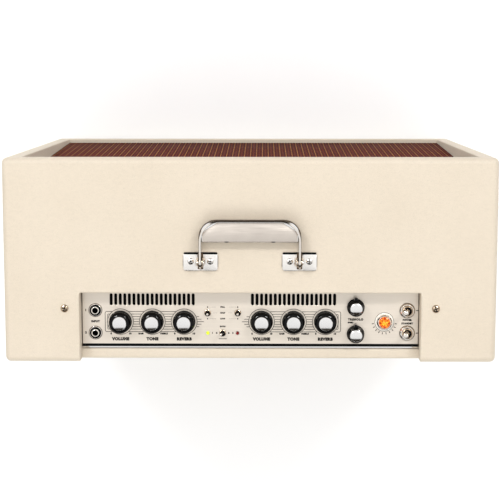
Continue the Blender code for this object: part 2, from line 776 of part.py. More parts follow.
def build_handle():
    """The bail lies forward on the top board at rest and swings about its two pins."""
    pivot = add_empty("handle_pivot", (0, PIVOT_Y, PIVOT_Z), -HANDLE_REST)
    outside = handle_outline(HANDLE_HALF_X + STRAP / 2, HANDLE_REACH, HANDLE_CORNER, 0)
    inside = handle_outline(
        HANDLE_HALF_X - STRAP / 2, HANDLE_REACH - STRAP, HANDLE_CORNER - STRAP, 0
    )
    strap = prism(
        "handle_frame", outside + inside[::-1], -STRAP_WIDTH / 2, STRAP_WIDTH / 2, NICKEL
    )
    strap.parent = pivot
    for side, sign in (("left", 1), ("right", -1)):
        turn = (0, sign * math.pi / 2, 0)
        eye = cylinder(f"handle_eye_{side}", STRAP_WIDTH / 2, -STRAP / 2, STRAP / 2, sides=16)
        place(eye, (sign * HANDLE_HALF_X, 0, 0), pivot, turn)
        unite(strap, eye)
        hole = cylinder(f"handle_hole_{side}", PIN_R + 0.4 * MM, -STRAP, STRAP, sides=12)
        place(hole, (sign * HANDLE_HALF_X, 0, 0), pivot, turn)
        cut(strap, hole)
        pin_profile = [
            (0, 5 * MM),
            (2.9 * MM, 4.6 * MM),
            (2.9 * MM, 3.7 * MM),
            (PIN_R, 3.7 * MM),
            (PIN_R, -3.7 * MM),
            (2.9 * MM, -3.7 * MM),
            (2.9 * MM, -4.6 * MM),
            (0, -5 * MM),
        ]
        pin = turned(f"handle_pin_{side}", pin_profile, NICKEL, 10)
        place(pin, (sign * HANDLE_HALF_X, PIVOT_Y, PIVOT_Z), rotation=turn)
        build_bracket(side, sign)
    clear = STRAP + GAP
    grip_half_x = HANDLE_HALF_X - STRAP / 2 - GAP
    outline = handle_outline(
        grip_half_x, HANDLE_REACH - clear, HANDLE_CORNER - clear, -HANDLE_REACH + GRIP_DEPTH
    )
    grip = prism("handle_grip", outline, -5.2 * MM, 3.6 * MM, NICKEL)
    grip.parent = pivot
    add_bevel(grip, 1.4 * MM)


def build_bracket(side, sign):
    width, depth, thick = BRACKET
    centre_x = sign * HANDLE_HALF_X
    bracket = round_plate(f"handle_bracket_{side}", BRACKET, 3 * MM, NICKEL, 3)
    place(bracket, (centre_x, PIVOT_Y, TOP_Z + GAP + thick / 2))
    for edge, ear_sign in (("inner", -1), ("outer", 1)):
        middle = ear_sign * 2.6 * MM
        name = f"bracket_ear_{side}_{edge}"
        height = PIVOT_Z - TOP_Z - GAP - thick / 2
        ear = box_between(
            name, (middle - 0.8 * MM, -5.8 * MM, 0), (middle + 0.8 * MM, 5.8 * MM, height)
        )
        ear_top = cylinder(f"{name}_top", 5.8 * MM, -0.8 * MM, 0.8 * MM, sides=14)
        place(ear_top, (middle, 0, height), bracket, (0, math.pi / 2, 0))
        ear.parent = bracket
        unite(bracket, ear, ear_top)
    hole = cylinder(f"bracket_hole_{side}", PIN_R + 0.3 * MM, -6 * MM, 6 * MM, sides=12)
    place(hole, (0, 0, PIVOT_Z - TOP_Z - GAP - thick / 2), bracket, (0, math.pi / 2, 0))
    cut(bracket, hole)


def build_chassis_screws():
    head = [
        (0, 2.4 * MM),
        (2.4 * MM, 2.1 * MM),
        (4.2 * MM, 1 * MM),
        (4.4 * MM, GAP),
        (0, GAP),
    ]
    for side, sign in (("left", 1), ("right", -1)):
        screw = turned(f"chassis_screw_{side}", head, NICKEL, 12)
        place(screw, (sign * 201.2 * MM, 52 * MM, TOP_Z))


def build_tubes():
    """Each tube hangs from its socket: its Z runs down from the chassis floor."""
    power = [
        (0, 82 * MM),
        (6 * MM, 81 * MM),
        (13 * MM, 76 * MM),
        (16 * MM, 68 * MM),
        (16 * MM, 24 * MM),
        (14.5 * MM, 18 * MM),
        (16.5 * MM, 16 * MM),
        (16.5 * MM, GAP),
        (10 * MM, GAP),
        (10 * MM, -6 * MM),
        (0, -6 * MM),
    ]
    preamp = [
        (0, 50 * MM),
        (3 * MM, 48 * MM),
        (8 * MM, 46 * MM),
        (10.5 * MM, 42 * MM),
        (10.5 * MM, GAP),
        (7.5 * MM, GAP),
        (7.5 * MM, -5 * MM),
        (0, -5 * MM),
    ]
    for places, profile in ((POWER_TUBES, power), (PREAMP_TUBES, preamp)):
        for name, x in places.items():
            tube = turned(name, profile, GLASS, 12)
            place(tube, (x, TUBE_Y, TRAY_FLOOR_Z), rotation=(math.pi, 0, 0))


def build_transformers():
    top = TRAY_FLOOR_Z - GAP
    core = box_between(
        "power_transformer", (-145 * MM, 44 * MM, top - 70 * MM), (-65 * MM, 78 * MM, top), STEEL
    )
    bells = box_between(
        "power_bells", (-136 * MM, 26 * MM, top - 60 * MM), (-74 * MM, 96 * MM, top - 10 * MM)
    )
    add_bevel(bells, 6 * MM)
    unite(core, bells)
    core = box_between(
        "output_transformer", (32 * MM, 42 * MM, top - 48 * MM), (90 * MM, 64 * MM, top), STEEL
    )
    coil = box_between(
        "output_coil", (42 * MM, 30 * MM, top - 39 * MM), (80 * MM, 76 * MM, top - 9 * MM)
    )
    add_bevel(coil, 5 * MM)
    unite(core, coil)


def build_mains_inlet():
    x, y = MAINS_XY
    flange = round_plate("mains_inlet", (34 * MM, 26 * MM, 2.4 * MM), 4 * MM, BLACK_GLOSS)
    place(flange, (x, y, TRAY_FLOOR_Z - GAP - 1.2 * MM))
    body = box_between(
        "mains_body", (-13 * MM, -10 * MM, 0), (13 * MM, 10 * MM, 22 * MM)
    )
    socket = box_between(
        "mains_socket", (-12 * MM, -8.5 * MM, -5 * MM), (12 * MM, 8.5 * MM, 14 * MM)
    )
    body.parent = flange
    socket.parent = flange
    unite(flange, body)
    cut(flange, socket)


def build_main_board():
    """The amplifier's circuit board with its filter capacitors, on the tray's floor."""
    low_z = TRAY_FLOOR_Z + SHEET + 12 * MM
    board = box_between(
        "main_board", (-140 * MM, 26 * MM, low_z), (182 * MM, 77 * MM, low_z + 1.6 * MM), CIRCUIT
    )
    for index in range(3):
        x = (20 + 24 * index) * MM
        can = cylinder(f"filter_capacitor_{index}", 9 * MM, 1 * MM, 30 * MM, sides=12)
        place(can, (x, 35.5 * MM, low_z))
        unite(board, can)


def build_reverb_tank():
    """A long sheet-metal pan, open downwards, lying on the bottom board."""
    low, high = (-215 * MM, -16 * MM), (215 * MM, 92 * MM)
    base = INNER_BASE_Z + GAP
    pan = box_between("reverb_tank", (*low, base), (*high, base + 32 * MM), STEEL)
    inset = 1.2 * MM
    inside = box_between(
        "pan_cutter",
        (low[0] + inset, low[1] + inset, base - 5 * MM),
        (high[0] - inset, high[1] - inset, base + 32 * MM - inset),
    )
    cut(pan, inside)
    flange = box_between(
        "pan_flange",
        (low[0] - 8 * MM, low[1] + 4 * MM, base),
        (high[0] + 8 * MM, high[1] - 4 * MM, base + inset),
    )
    flange_hole = box_between(
        "pan_flange_cutter",
        (low[0] + inset / 2, low[1], base - inset),
        (high[0] - inset / 2, high[1], base + 2 * inset),
    )
    cut(flange, flange_hole)
    unite(pan, flange)


build_cabinet()
build_feet()
BAFFLE_FRAME = baffle_frame()
build_baffle(BAFFLE_FRAME)
build_speaker(BAFFLE_FRAME)
build_back_panels()
build_tray()
build_control_panel()
build_knobs()
build_control_board()
build_toggles()
build_jacks()
build_lamps()
build_handle()
build_chassis_screws()
build_tubes()
build_transformers()
build_mains_inlet()
build_main_board()
build_reverb_tank()
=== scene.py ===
"""The looks of a guitar combo amplifier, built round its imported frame. Metres, +Z up.

Shape gathers solids in millimetres, Paint makes procedural materials, and make() turns a
Shape into a piece that rides on a body of the frame.
"""

import json
import math

import bmesh
import bpy
from mathutils import Matrix, Vector


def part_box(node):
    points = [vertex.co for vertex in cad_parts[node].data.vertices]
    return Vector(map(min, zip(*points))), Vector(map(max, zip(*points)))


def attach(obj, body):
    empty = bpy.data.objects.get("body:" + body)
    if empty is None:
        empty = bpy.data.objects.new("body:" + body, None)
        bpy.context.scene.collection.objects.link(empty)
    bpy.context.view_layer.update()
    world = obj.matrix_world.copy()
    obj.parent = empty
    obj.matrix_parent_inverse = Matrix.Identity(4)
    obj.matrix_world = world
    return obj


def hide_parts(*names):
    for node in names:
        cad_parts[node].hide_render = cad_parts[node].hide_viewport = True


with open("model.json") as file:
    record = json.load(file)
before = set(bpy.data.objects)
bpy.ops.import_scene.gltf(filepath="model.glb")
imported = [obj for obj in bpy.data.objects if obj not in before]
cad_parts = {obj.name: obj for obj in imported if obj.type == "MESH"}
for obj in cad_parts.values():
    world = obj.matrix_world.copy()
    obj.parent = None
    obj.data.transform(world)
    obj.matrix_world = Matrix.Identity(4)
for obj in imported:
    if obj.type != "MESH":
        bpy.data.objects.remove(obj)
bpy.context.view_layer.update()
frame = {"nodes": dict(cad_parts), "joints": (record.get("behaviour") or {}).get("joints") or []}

MM = 0.001
SCENE = bpy.context.scene


def span(node):
    """A CAD node's lowest and highest corner, in millimetres."""
    low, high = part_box(node)
    return low / MM, high / MM


def middle(node):
    low, high = span(node)
    return (low + high) / 2


def joint(name):
    return next(j for j in frame["joints"] if j["name"] == name)


def pivot(name):
    return Vector(joint(name)["pos_m"]) / MM


# Planes and places that the CAD gives
TOP = span("top_board")[1].z
HALF_X = span("side_board_left")[1].x
FRONT, REAR = span("top_board")[0].y, span("top_board")[1].y
INNER_TOP = span("top_board")[0].z
INNER_BASE = span("bottom_board")[1].z
BASE = span("bottom_board")[0].z
INNER_X = span("side_board_left")[0].x
PANEL = span("control_panel")[1].z
TUBE_BASE = 6  # how far a power tube reaches up through the chassis tray
FLOOR_Z = span("power_tube_1")[1].z - TUBE_BASE  # underside of the chassis tray
CONE_AXIS = Vector(joint("cone_travel")["axis"])
TILT = math.atan2(-CONE_AXIS.z, CONE_AXIS.y)

LIGHT_LEAN = math.radians(3)

# Sizes that the frame's boxes don't give, in millimetres
NOTCH_X = 185.2
NOTCH_Y = 35.1
NOTCH_ROUND = 2
CLOTH_PITCH = 7.4
VENT_HALF_WIDTH = 1.65
CUT_PAST = 9  # how far a cutter reaches past what it cuts
UPSIDE_DOWN = (math.pi, 0, 0)
POWER_TUBES = ("power_tube_1", "power_tube_2")
PREAMP_TUBES = ("preamp_tube_1", "preamp_tube_2", "preamp_tube_3")
LEVER_LEAN = math.radians(12)


# --- helpers -----------------------------------------------------------------------------


def add_object(name, data):
    obj = bpy.data.objects.new(name, data)
    SCENE.collection.objects.link(obj)
    return obj


def finished_mesh(obj):
    """A new mesh of an object with its modifiers or curve settings worked in."""
    graph = bpy.context.evaluated_depsgraph_get()
    graph.update()
    return bpy.data.meshes.new_from_object(obj.evaluated_get(graph))


def smooth(mesh, sharp_from):
    mesh.shade_smooth()
    mesh.set_sharp_from_angle(angle=math.radians(sharp_from))


def polar(radius, degrees):
    angle = math.radians(degrees)
    return radius * math.cos(angle), radius * math.sin(angle)


class NodeTree:
    """The nodes of a material or of the world, and how they are joined."""

    def __init__(self, tree):
        self.nodes = tree.nodes
        self.links = tree.links

    def join(self, output, socket):
        self.links.new(output, socket)

    def calc(self, operation, first, second=0.0):
        node = self.nodes.new("ShaderNodeMath")
        node.operation = operation
        for socket, value in zip(node.inputs, (first, second)):
            if isinstance(value, (int, float)):
                socket.default_value = value
            else:
                self.join(value, socket)
        return node.outputs[0]

    def ramp(self, factor, *stops):
        """Colours, or grey levels, along a factor: each stop is (position, colour or level)."""
        node = self.nodes.new("ShaderNodeValToRGB")
        elements = node.color_ramp.elements
        elements[0].position = stops[0][0]
        elements[1].position = stops[-1][0]
        for position, _ in stops[1:-1]:
            elements.new(position)
        for element, (_, value) in zip(elements, stops):
            level = value if isinstance(value, tuple) else (value,) * 3
            element.color = (*level, 1)
        self.join(factor, node.inputs[0])
        return node.outputs[0]

    def mix(self, factor, first, second, mode="MIX"):
        node = self.nodes.new("ShaderNodeMix")
        node.data_type = "RGBA"
        node.blend_type = mode
        for socket, value in ((node.inputs[0], factor), (node.inputs[6], first), (node.inputs[7], second)):
            if isinstance(value, tuple):
                socket.default_value = (*value, 1)
            elif isinstance(value, (int, float)):
                socket.default_value = value
            else:
                self.join(value, socket)
        return node.outputs[2]

    def times(self, first, second):
        return self.mix(1.0, first, second, "MULTIPLY")


# --- camera, floor and light -------------------------------------------------------------


def set_camera():
    data = bpy.data.cameras.new("camera")
    data.sensor_width = 36
    data.lens = 101.5
    data.clip_end = 20
    camera = add_object("camera", data)
    place = Vector((-0.0150, -0.2057, 1.9439))
    aim = Vector((0, -0.0121, 0.437))
    back = (place - aim).normalized()
    right = Vector((0, -1, 0)).cross(back).normalized()
    up = back.cross(right)
    camera.matrix_world = Matrix.Translation(place) @ Matrix((right, up, back)).transposed().to_4x4()
    SCENE.camera = camera


def set_world():
    """A soft pale room for the light, and a dark room with one wide strip to be reflected."""
    world = bpy.data.worlds.new("studio")
    world.use_nodes = True
    tree = NodeTree(world.node_tree)
    direction = tree.nodes.new("ShaderNodeTexCoord").outputs["Generated"]

    def levels(axis, *stops):
        """Levels by how far a direction points along an axis, from -1 to 1."""
        along = tree.nodes.new("ShaderNodeVectorMath")
        along.operation = "DOT_PRODUCT"
        along.inputs[1].default_value = axis
        tree.join(direction, along.inputs[0])
        spread = tree.nodes.new("ShaderNodeMapRange")
        spread.inputs["From Min"].default_value = -1
        tree.join(along.outputs["Value"], spread.inputs["Value"])
        return tree.ramp(spread.outputs[0], *(((height + 1) / 2, level) for height, level in stops))

    upwards = (0, -math.sin(LIGHT_LEAN), math.cos(LIGHT_LEAN))
    lit = levels(upwards, (-1, 0.3), (0, 0.4), (0.3, 0.6), (0.7, 0.95), (1, 1.0))
    dark = (0.03, 0.024, 0.018)
    strip = levels((0, 1, 0), (-0.85, dark), (-0.78, 0.95), (0.1, 0.9), (0.5, 0.82), (0.56, dark))
    mirrored = tree.times(strip, levels((0, 0, 1), (0.02, 0.04), (0.2, 1.0)))
    rays = tree.nodes.new("ShaderNodeLightPath").outputs
    colour = tree.mix(rays["Is Camera Ray"], tree.mix(rays["Is Glossy Ray"], lit, mirrored), (1, 1, 1))
    background = tree.nodes["Background"].inputs
    tree.join(colour, background["Color"])
    background["Strength"].default_value = 1.15
    SCENE.world = world


def add_light(name, place, aim, size, power, lights=True, mirrored=True):
    """A soft lamp that lights the object, is mirrored in it, or both."""
    data = bpy.data.lights.new(name, "AREA")
    data.shape = "RECTANGLE"
    data.size, data.size_y = size
    data.energy = power
    light = add_object(name, data)
    direction = Vector(aim) - Vector(place)
    light.rotation_euler = direction.to_track_quat("-Z", "Y").to_euler()
    light.location = place
    light.visible_diffuse = lights
    light.visible_glossy = mirrored


def set_floor():
    bm = bmesh.new()
    bmesh.ops.create_grid(bm, x_segments=1, y_segments=1, size=20)
    mesh = bpy.data.meshes.new("floor")
    bm.to_mesh(mesh)
    bm.free()
    floor = add_object("floor", mesh)
    mesh.materials.append(Paint("floor_paint", (0.96, 0.96, 0.96), 0.9).material)


# --- materials ---------------------------------------------------------------------------


class Paint(NodeTree):
    """A Principled material and the nodes that feed it. Lengths in its methods are in mm."""

    def __init__(self, name, colour, roughness, metallic=0.0, **constants):
        self.material = bpy.data.materials.new(name)
        self.material.use_nodes = True
        super().__init__(self.material.node_tree)
        self.shader = self.nodes["Principled BSDF"]
        self.colour = colour
        self.normal = None
        self.object = self.nodes.new("ShaderNodeTexCoord").outputs["Object"]
        self.fix("Base Color", (*colour, 1))
        self.fix("Roughness", roughness)
        self.fix("Metallic", metallic)
        for key, value in constants.items():
            self.fix(key.replace("_", " "), value)

    def fix(self, socket, value):
        names = {name.lower(): name for name in self.shader.inputs.keys()}
        self.shader.inputs[names[socket.lower()]].default_value = value

    def feed(self, socket, output):
        self.join(output, self.shader.inputs[socket])
        return self

    def space(self, stretch=(1, 1, 1)):
        """Object coordinates, multiplied along each axis by stretch."""
        node = self.nodes.new("ShaderNodeMapping")
        node.inputs["Scale"].default_value = stretch
        self.join(self.object, node.inputs["Vector"])
        return node.outputs[0]

    def noise(self, size, detail, stretch=(1, 1, 1), distortion=0.0):
        """Noise whose blots are about size mm across."""
        node = self.nodes.new("ShaderNodeTexNoise")
        node.inputs["Scale"].default_value = 1 / (size * MM)
        node.inputs["Detail"].default_value = detail
        node.inputs["Distortion"].default_value = distortion
        self.join(self.space(stretch), node.inputs["Vector"])
        return node.outputs["Fac"]

    def cells(self, size, random_places=1.0):
        """The distance from the edges of cells about size mm across."""
        node = self.nodes.new("ShaderNodeTexVoronoi")
        node.feature = "DISTANCE_TO_EDGE"
        node.inputs["Scale"].default_value = 1 / (size * MM)
        node.inputs["Randomness"].default_value = random_places
        self.join(self.space(), node.inputs["Vector"])
        return node.outputs["Distance"]

    def stripes(self, axis, pitch):
        """A ramp from 0 to 1 over each pitch along an axis."""
        split = self.nodes.new("ShaderNodeSeparateXYZ")
        self.join(self.space(), split.inputs[0])
        return self.calc("FRACT", self.calc("MULTIPLY", split.outputs[axis], 1 / (pitch * MM)))

    def bump(self, height, strength, distance):
        """Adds relief of about distance mm where height goes from 0 to 1."""
        node = self.nodes.new("ShaderNodeBump")
        node.inputs["Strength"].default_value = strength
        node.inputs["Distance"].default_value = distance * MM
        self.join(height, node.inputs["Height"])
        if self.normal:
            self.join(self.normal, node.inputs["Normal"])
        self.normal = node.outputs[0]
        return self.feed("Normal", self.normal)

    def vary_roughness(self, factor, low, high):
        return self.feed("Roughness", self.ramp(factor, (0.3, low), (0.7, high)))


def shade(colour, factor):
    return tuple(min(1.0, c * factor) for c in colour)


def vinyl_paint():
    """Cream vinyl with a fine pebbled grain and faint creases across the cabinet, darkened in the creases
    and between the pebbles as painted shade.
    """
    paint = Paint("cream_vinyl", (0.65, 0.565, 0.455), 0.5, Specular_IOR_Level=0.2)
    pebbles = paint.cells(1.1)
    creases = paint.noise(2.6, 5, stretch=(0.4, 1, 1), distortion=0.8)
    mottle = paint.noise(60, 3)
    base = paint.mix(
        paint.ramp(mottle, (0.3, 0.0), (0.7, 1.0)), (0.642, 0.558, 0.446), (0.662, 0.578, 0.466),
    )
    # painted shade: darker where the creases dip
    crease_shaded = paint.times(base, paint.ramp(creases, (0.3, 0.965), (0.6, 1.0)))
    # painted shade: darker in the crevices between pebbles
    grain = paint.ramp(pebbles, (0.0, 0.9), (0.14, 1.0))
    paint.feed("Base Color", paint.times(crease_shaded, grain))
    paint.vary_roughness(creases, 0.44, 0.6)
    paint.bump(paint.ramp(pebbles, (0.0, 0.0), (0.3, 1.0)), 0.5, 0.16)
    paint.bump(creases, 0.35, 0.2)
    return paint.bump(paint.noise(0.4, 2), 0.2, 0.06).material


def plywood_paint():
    paint = Paint("birch_plywood", (0.62, 0.45, 0.28), 0.62)
    grain = paint.noise(7, 5, stretch=(0.08, 0.12, 1.4), distortion=0.8)
    fibres = paint.noise(0.9, 3, stretch=(0.04, 0.08, 1))
    wood = paint.ramp(
        grain, (0.3, (0.50, 0.33, 0.18)), (0.55, (0.66, 0.48, 0.29)), (0.8, (0.73, 0.56, 0.36)),
    )
    paint.feed("Base Color", paint.times(wood, paint.ramp(fibres, (0.3, 0.8), (0.7, 1.0))))
    paint.vary_roughness(grain, 0.55, 0.72)
    return paint.bump(fibres, 0.3, 0.1).material


def black_ply_paint():
    paint = Paint("black_painted_ply", (0.022, 0.021, 0.02), 0.7)
    grain = paint.noise(2, 4, stretch=(0.06, 1, 1), distortion=0.4)
    paint.feed("Base Color", paint.ramp(grain, (0.3, (0.014, 0.013, 0.012)), (0.75, (0.034, 0.032, 0.03))))
    return paint.bump(grain, 0.4, 0.15).material


def cloth_paint():
    """Oxblood weave: the grooves between ribs and the dips between threads are darkened as painted shade,
    and a thin gold stripe lies on every other rib.
    """
    paint = Paint("oxblood_cloth", (0.13, 0.032, 0.016), 0.95, Specular_IOR_Level=0.1)
    # deep is painted shade in the grooves between ribs
    red, deep, gold, faint = (0.10, 0.0135, 0.006), (
        0.02, 0.0022, 0.0015,
    ), (0.44, 0.19, 0.05), (0.18, 0.036, 0.011)
    lines = paint.ramp(
        paint.stripes("X", CLOTH_PITCH),
        (0.0, deep), (0.05, red), (0.2, red), (0.215, gold), (0.285, gold), (0.3, red), (0.45, red),
        (0.5, deep), (0.55, red), (0.71, red), (0.725, faint), (0.775, faint), (0.79, red), (0.95, red),
        (1.0, deep),
    )
    threads = paint.calc("PINGPONG", paint.stripes("Z", 1.1), 0.5)
    slubs = paint.noise(2.2, 3, stretch=(1, 1, 0.12))
    # painted shade: darker in the dips between threads
    colour = paint.times(lines, paint.ramp(threads, (0.05, 0.7), (0.4, 1.1)))
    paint.feed("Base Color", paint.times(colour, paint.ramp(slubs, (0.3, 0.7), (0.7, 1.2))))
    paint.bump(threads, 0.8, 0.3)
    return paint.bump(slubs, 0.4, 0.2).material


def metal_paint(name, colour, roughness, grain=(1, 1, 1), size=1.2, relief=0.02, spread=0.05):
    """Plated or brushed metal: grain stretches its fine marks."""
    paint = Paint(name, colour, roughness, 1.0)
    marks = paint.noise(size, 4, stretch=grain)
    clouds = paint.noise(18, 3)
    paint.feed(
        "Base Color",
        paint.mix(paint.ramp(clouds, (0.3, 0.0), (0.7, 1.0)), shade(colour, 0.93), colour),
    )
    paint.vary_roughness(marks, max(0.03, roughness - spread), roughness + spread)
    return paint.bump(marks, 0.5, relief).material


def panel_paint():
    paint = Paint("champagne_panel", (0.72, 0.65, 0.56), 0.36, 0.8)
    brushed = paint.noise(0.45, 3, stretch=(0.012, 1, 1))
    clouds = paint.noise(60, 2)
    base = paint.mix(paint.ramp(clouds, (0.3, 0.0), (0.7, 1.0)), (0.70, 0.63, 0.545), (0.73, 0.66, 0.57))
    paint.feed("Base Color", paint.times(base, paint.ramp(brushed, (0.3, 0.95), (0.7, 1.0))))
    paint.vary_roughness(brushed, 0.3, 0.42)
    return paint.bump(brushed, 0.35, 0.02).material


def plastic_paint(name, colour, roughness, size=0.8, relief=0.03, **constants):
    """Moulded plastic, rubber or paper: fine grain, and a little unevenness in the colour."""
    paint = Paint(name, colour, roughness, **constants)
    grain = paint.noise(size, 3)
    paint.feed("Base Color", paint.ramp(grain, (0.3, shade(colour, 0.85)), (0.7, shade(colour, 1.15))))
    paint.vary_roughness(grain, roughness * 0.8, min(1, roughness * 1.25))
    return paint.bump(grain, 0.4, relief).material


def cone_paint():
    paint = Paint("cone_paper", (0.03, 0.029, 0.028), 0.9)
    fibres = paint.noise(1.4, 5, distortion=1.5)
    paint.feed("Base Color", paint.ramp(fibres, (0.3, (0.02, 0.019, 0.018)), (0.75, (0.055, 0.052, 0.05))))
    return paint.bump(fibres, 0.6, 0.2).material


def lamination_paint():
    paint = Paint("lamination_steel", (0.20, 0.19, 0.18), 0.45, 0.9)
    sheets = paint.calc("PINGPONG", paint.stripes("Y", 0.9), 0.5)
    rust = paint.noise(5, 4)
    steel = paint.ramp(sheets, (0.05, 0.45), (0.3, 1.0))
    base = paint.ramp(rust, (0.4, (0.20, 0.19, 0.18)), (0.8, (0.26, 0.20, 0.15)))
    paint.feed("Base Color", paint.times(base, steel))
    return paint.bump(sheets, 0.8, 0.2).material


def circuit_paint():
    paint = Paint("circuit_laminate", (0.02, 0.14, 0.05), 0.4)
    tracks = paint.cells(3.5, random_places=0.35)
    copper = paint.ramp(tracks, (0.10, (0.05, 0.24, 0.09)), (0.16, (0.015, 0.11, 0.04)))
    paint.feed("Base Color", copper)
    return paint.bump(tracks, 0.2, 0.05).material


def glow_paint(name, colour, glow, strength):
    """Coloured clear plastic with light behind it."""
    paint = Paint(name, colour, 0.08, Transmission_Weight=0.35, IOR=1.4, Coat_Weight=0.05)
    streaks = paint.noise(3.2, 1)
    deep = (glow[0] * 0.5, glow[1] * 0.12, glow[2] * 0.1)
    paint.feed("Base Color", paint.ramp(streaks, (0.35, shade(colour, 0.6)), (0.65, colour)))
    paint.feed("Emission Color", paint.ramp(streaks, (0.38, deep), (0.5, shade(glow, 0.8)), (0.62, glow)))
    paint.fix("Emission Strength", strength)
    return paint.material


def glass_paint():
    paint = Paint("tube_glass", (0.96, 0.98, 0.98), 0.03, Transmission_Weight=1.0, IOR=1.45)
    film = paint.noise(9, 3)
    return paint.vary_roughness(film, 0.02, 0.09).material


VINYL = vinyl_paint()
PLYWOOD = plywood_paint()
BLACK_PLY = black_ply_paint()
CLOTH = cloth_paint()
NICKEL = metal_paint("polished_nickel", (0.80, 0.75, 0.69), 0.12)
SATIN = metal_paint("satin_nickel", (0.62, 0.56, 0.50), 0.22, grain=(0.05, 1, 1), spread=0.05)
PLATE = metal_paint("plated_steel", (0.86, 0.83, 0.79), 0.24)
# painted reflection: chrome tinted warm to stand in for the cream vinyl it mirrors
WARM = metal_paint("straw_chrome", (0.60, 0.47, 0.34), 0.16)
# painted shade: a dark steel for rings, slot floors and edge lines that stands in for shadow and dark
# reflection
SHADE_STEEL = metal_paint("oxidised_steel", (0.075, 0.05, 0.032), 0.38)
CAP = metal_paint("spun_aluminium", (0.82, 0.81, 0.80), 0.12, size=0.5, spread=0.04)
ZINC = metal_paint("zinc_steel", (0.62, 0.62, 0.58), 0.36, size=6, relief=0.05, spread=0.1)
BRASS = metal_paint("brass_tags", (0.78, 0.60, 0.32), 0.3)
PANEL_PAINT = panel_paint()
INK = plastic_paint(
    "printed_ink", (0.010, 0.008, 0.007), 0.7, size=0.3, relief=0.005, Specular_IOR_Level=0.1,
)
IVORY = plastic_paint("ivory_ring", (0.80, 0.77, 0.70), 0.4, relief=0.01)
GLOSS = plastic_paint(
    "black_gloss", (0.003, 0.003, 0.003), 0.08, size=3, relief=0.006, Specular_IOR_Level=0.13,
)
MATT = plastic_paint("matt_black_plastic", (0.004, 0.004, 0.004), 0.7, relief=0.02, Specular_IOR_Level=0.08)
BLACK_METAL = plastic_paint("black_enamel", (0.018, 0.018, 0.019), 0.35, size=1.6, relief=0.05)
# painted shade: a flat black for recesses, gaps and edges that stands in for shadow
SHADOW = plastic_paint("black_felt", (0.004, 0.004, 0.004), 0.95, Specular_IOR_Level=0.05)
RUBBER = plastic_paint("black_rubber", (0.022, 0.022, 0.021), 0.75, size=0.7, relief=0.06)
WHITE = plastic_paint("white_ceramic", (0.74, 0.71, 0.64), 0.4)
# painted shade: the brown of the shadows at the panel's ends
BROWN = plastic_paint("brown_filler", (0.05, 0.03, 0.016), 0.8)
FIBRE = plastic_paint("red_fibre", (0.30, 0.07, 0.03), 0.6)
CONE = cone_paint()
SPIDER = plastic_paint("spider_cloth", (0.36, 0.22, 0.08), 0.9, size=0.6, relief=0.15)
STACK = lamination_paint()
CIRCUIT = circuit_paint()
GLASS = glass_paint()
GETTER = metal_paint("getter_silver", (0.55, 0.55, 0.55), 0.22)
PLATE_GREY = metal_paint("tube_plate", (0.10, 0.10, 0.11), 0.5, size=0.8)
MICA = plastic_paint("mica", (0.62, 0.58, 0.50), 0.35)
AMBER = glow_paint("amber_jewel", (1.0, 0.24, 0.01), (1.0, 0.42, 0.02), 0.5)
HONEY = glow_paint("honey_facets", (1.0, 0.42, 0.02), (1.0, 0.62, 0.04), 0.7)
EMBER = glow_paint("ember_facets", (0.60, 0.05, 0.004), (0.55, 0.06, 0.0), 0.35)
GREEN = glow_paint("green_lens", (0.55, 0.75, 0.05), (0.55, 0.80, 0.03), 1.1)
RED = glow_paint("red_lens", (0.30, 0.006, 0.006), (0.4, 0.0, 0.0), 0.12)


# --- geometry ----------------------------------------------------------------------------


def soften(points, closed=False, steps=4):
    """Rounds the corners of a line in a plane: a point's third number is its corner radius."""
    found = []
    count = len(points)
    for index, point in enumerate(points):
        here = Vector(point[:2])
        radius = point[2] if len(point) > 2 else 0
        ends = not closed and index in (0, count - 1)
        if not radius or ends:
            found.append(here)
            continue
        before = Vector(points[index - 1][:2]) - here
        after = Vector(points[(index + 1) % count][:2]) - here
        half = before.angle(after) / 2
        reach = min(radius / math.tan(half), before.length * 0.49, after.length * 0.49)
        radius = reach * math.tan(half)
        start, end = here + before.normalized() * reach, here + after.normalized() * reach
        centre = here + (before.normalized() + after.normalized()).normalized() * (
            radius / math.sin(half)
        )
        first, last = start - centre, end - centre
        turn = first.angle_signed(last)
        for step in range(steps + 1):
            found.append(centre + Matrix.Rotation(-turn * step / steps, 2) @ first)
    return [(p.x, p.y) for p in found]


def circle(radius, steps, centre=(0, 0), start=0.0):
    turn = [start + 2 * math.pi * i / steps for i in range(steps)]
    return [(centre[0] + radius * math.cos(a), centre[1] + radius * math.sin(a)) for a in turn]


def at(x=0, y=0, z=0, turn_x=0, turn_y=0, turn_z=0, scale=1):
    """A place, in mm, with turns in degrees about X, then Y, then Z."""
    spin = Matrix.Rotation(math.radians(turn_z), 4, "Z")
    spin = spin @ Matrix.Rotation(math.radians(turn_y), 4, "Y")
    spin = spin @ Matrix.Rotation(math.radians(turn_x), 4, "X")
    return Matrix.Translation((x, y, z)) @ spin @ Matrix.Scale(scale, 4)


def band(inner, outer, low, high, edge=0):
    """The profile of a ring, or of a disc where inner is 0, with its outer top corner rounded."""
    return [(inner, high), (outer, high, edge), (outer, low), (inner, low)]


def rectangle(x1, y1, x2, y2, corner):
    return [(x1, y1, corner), (x2, y1, corner), (x2, y2, corner), (x1, y2, corner)]


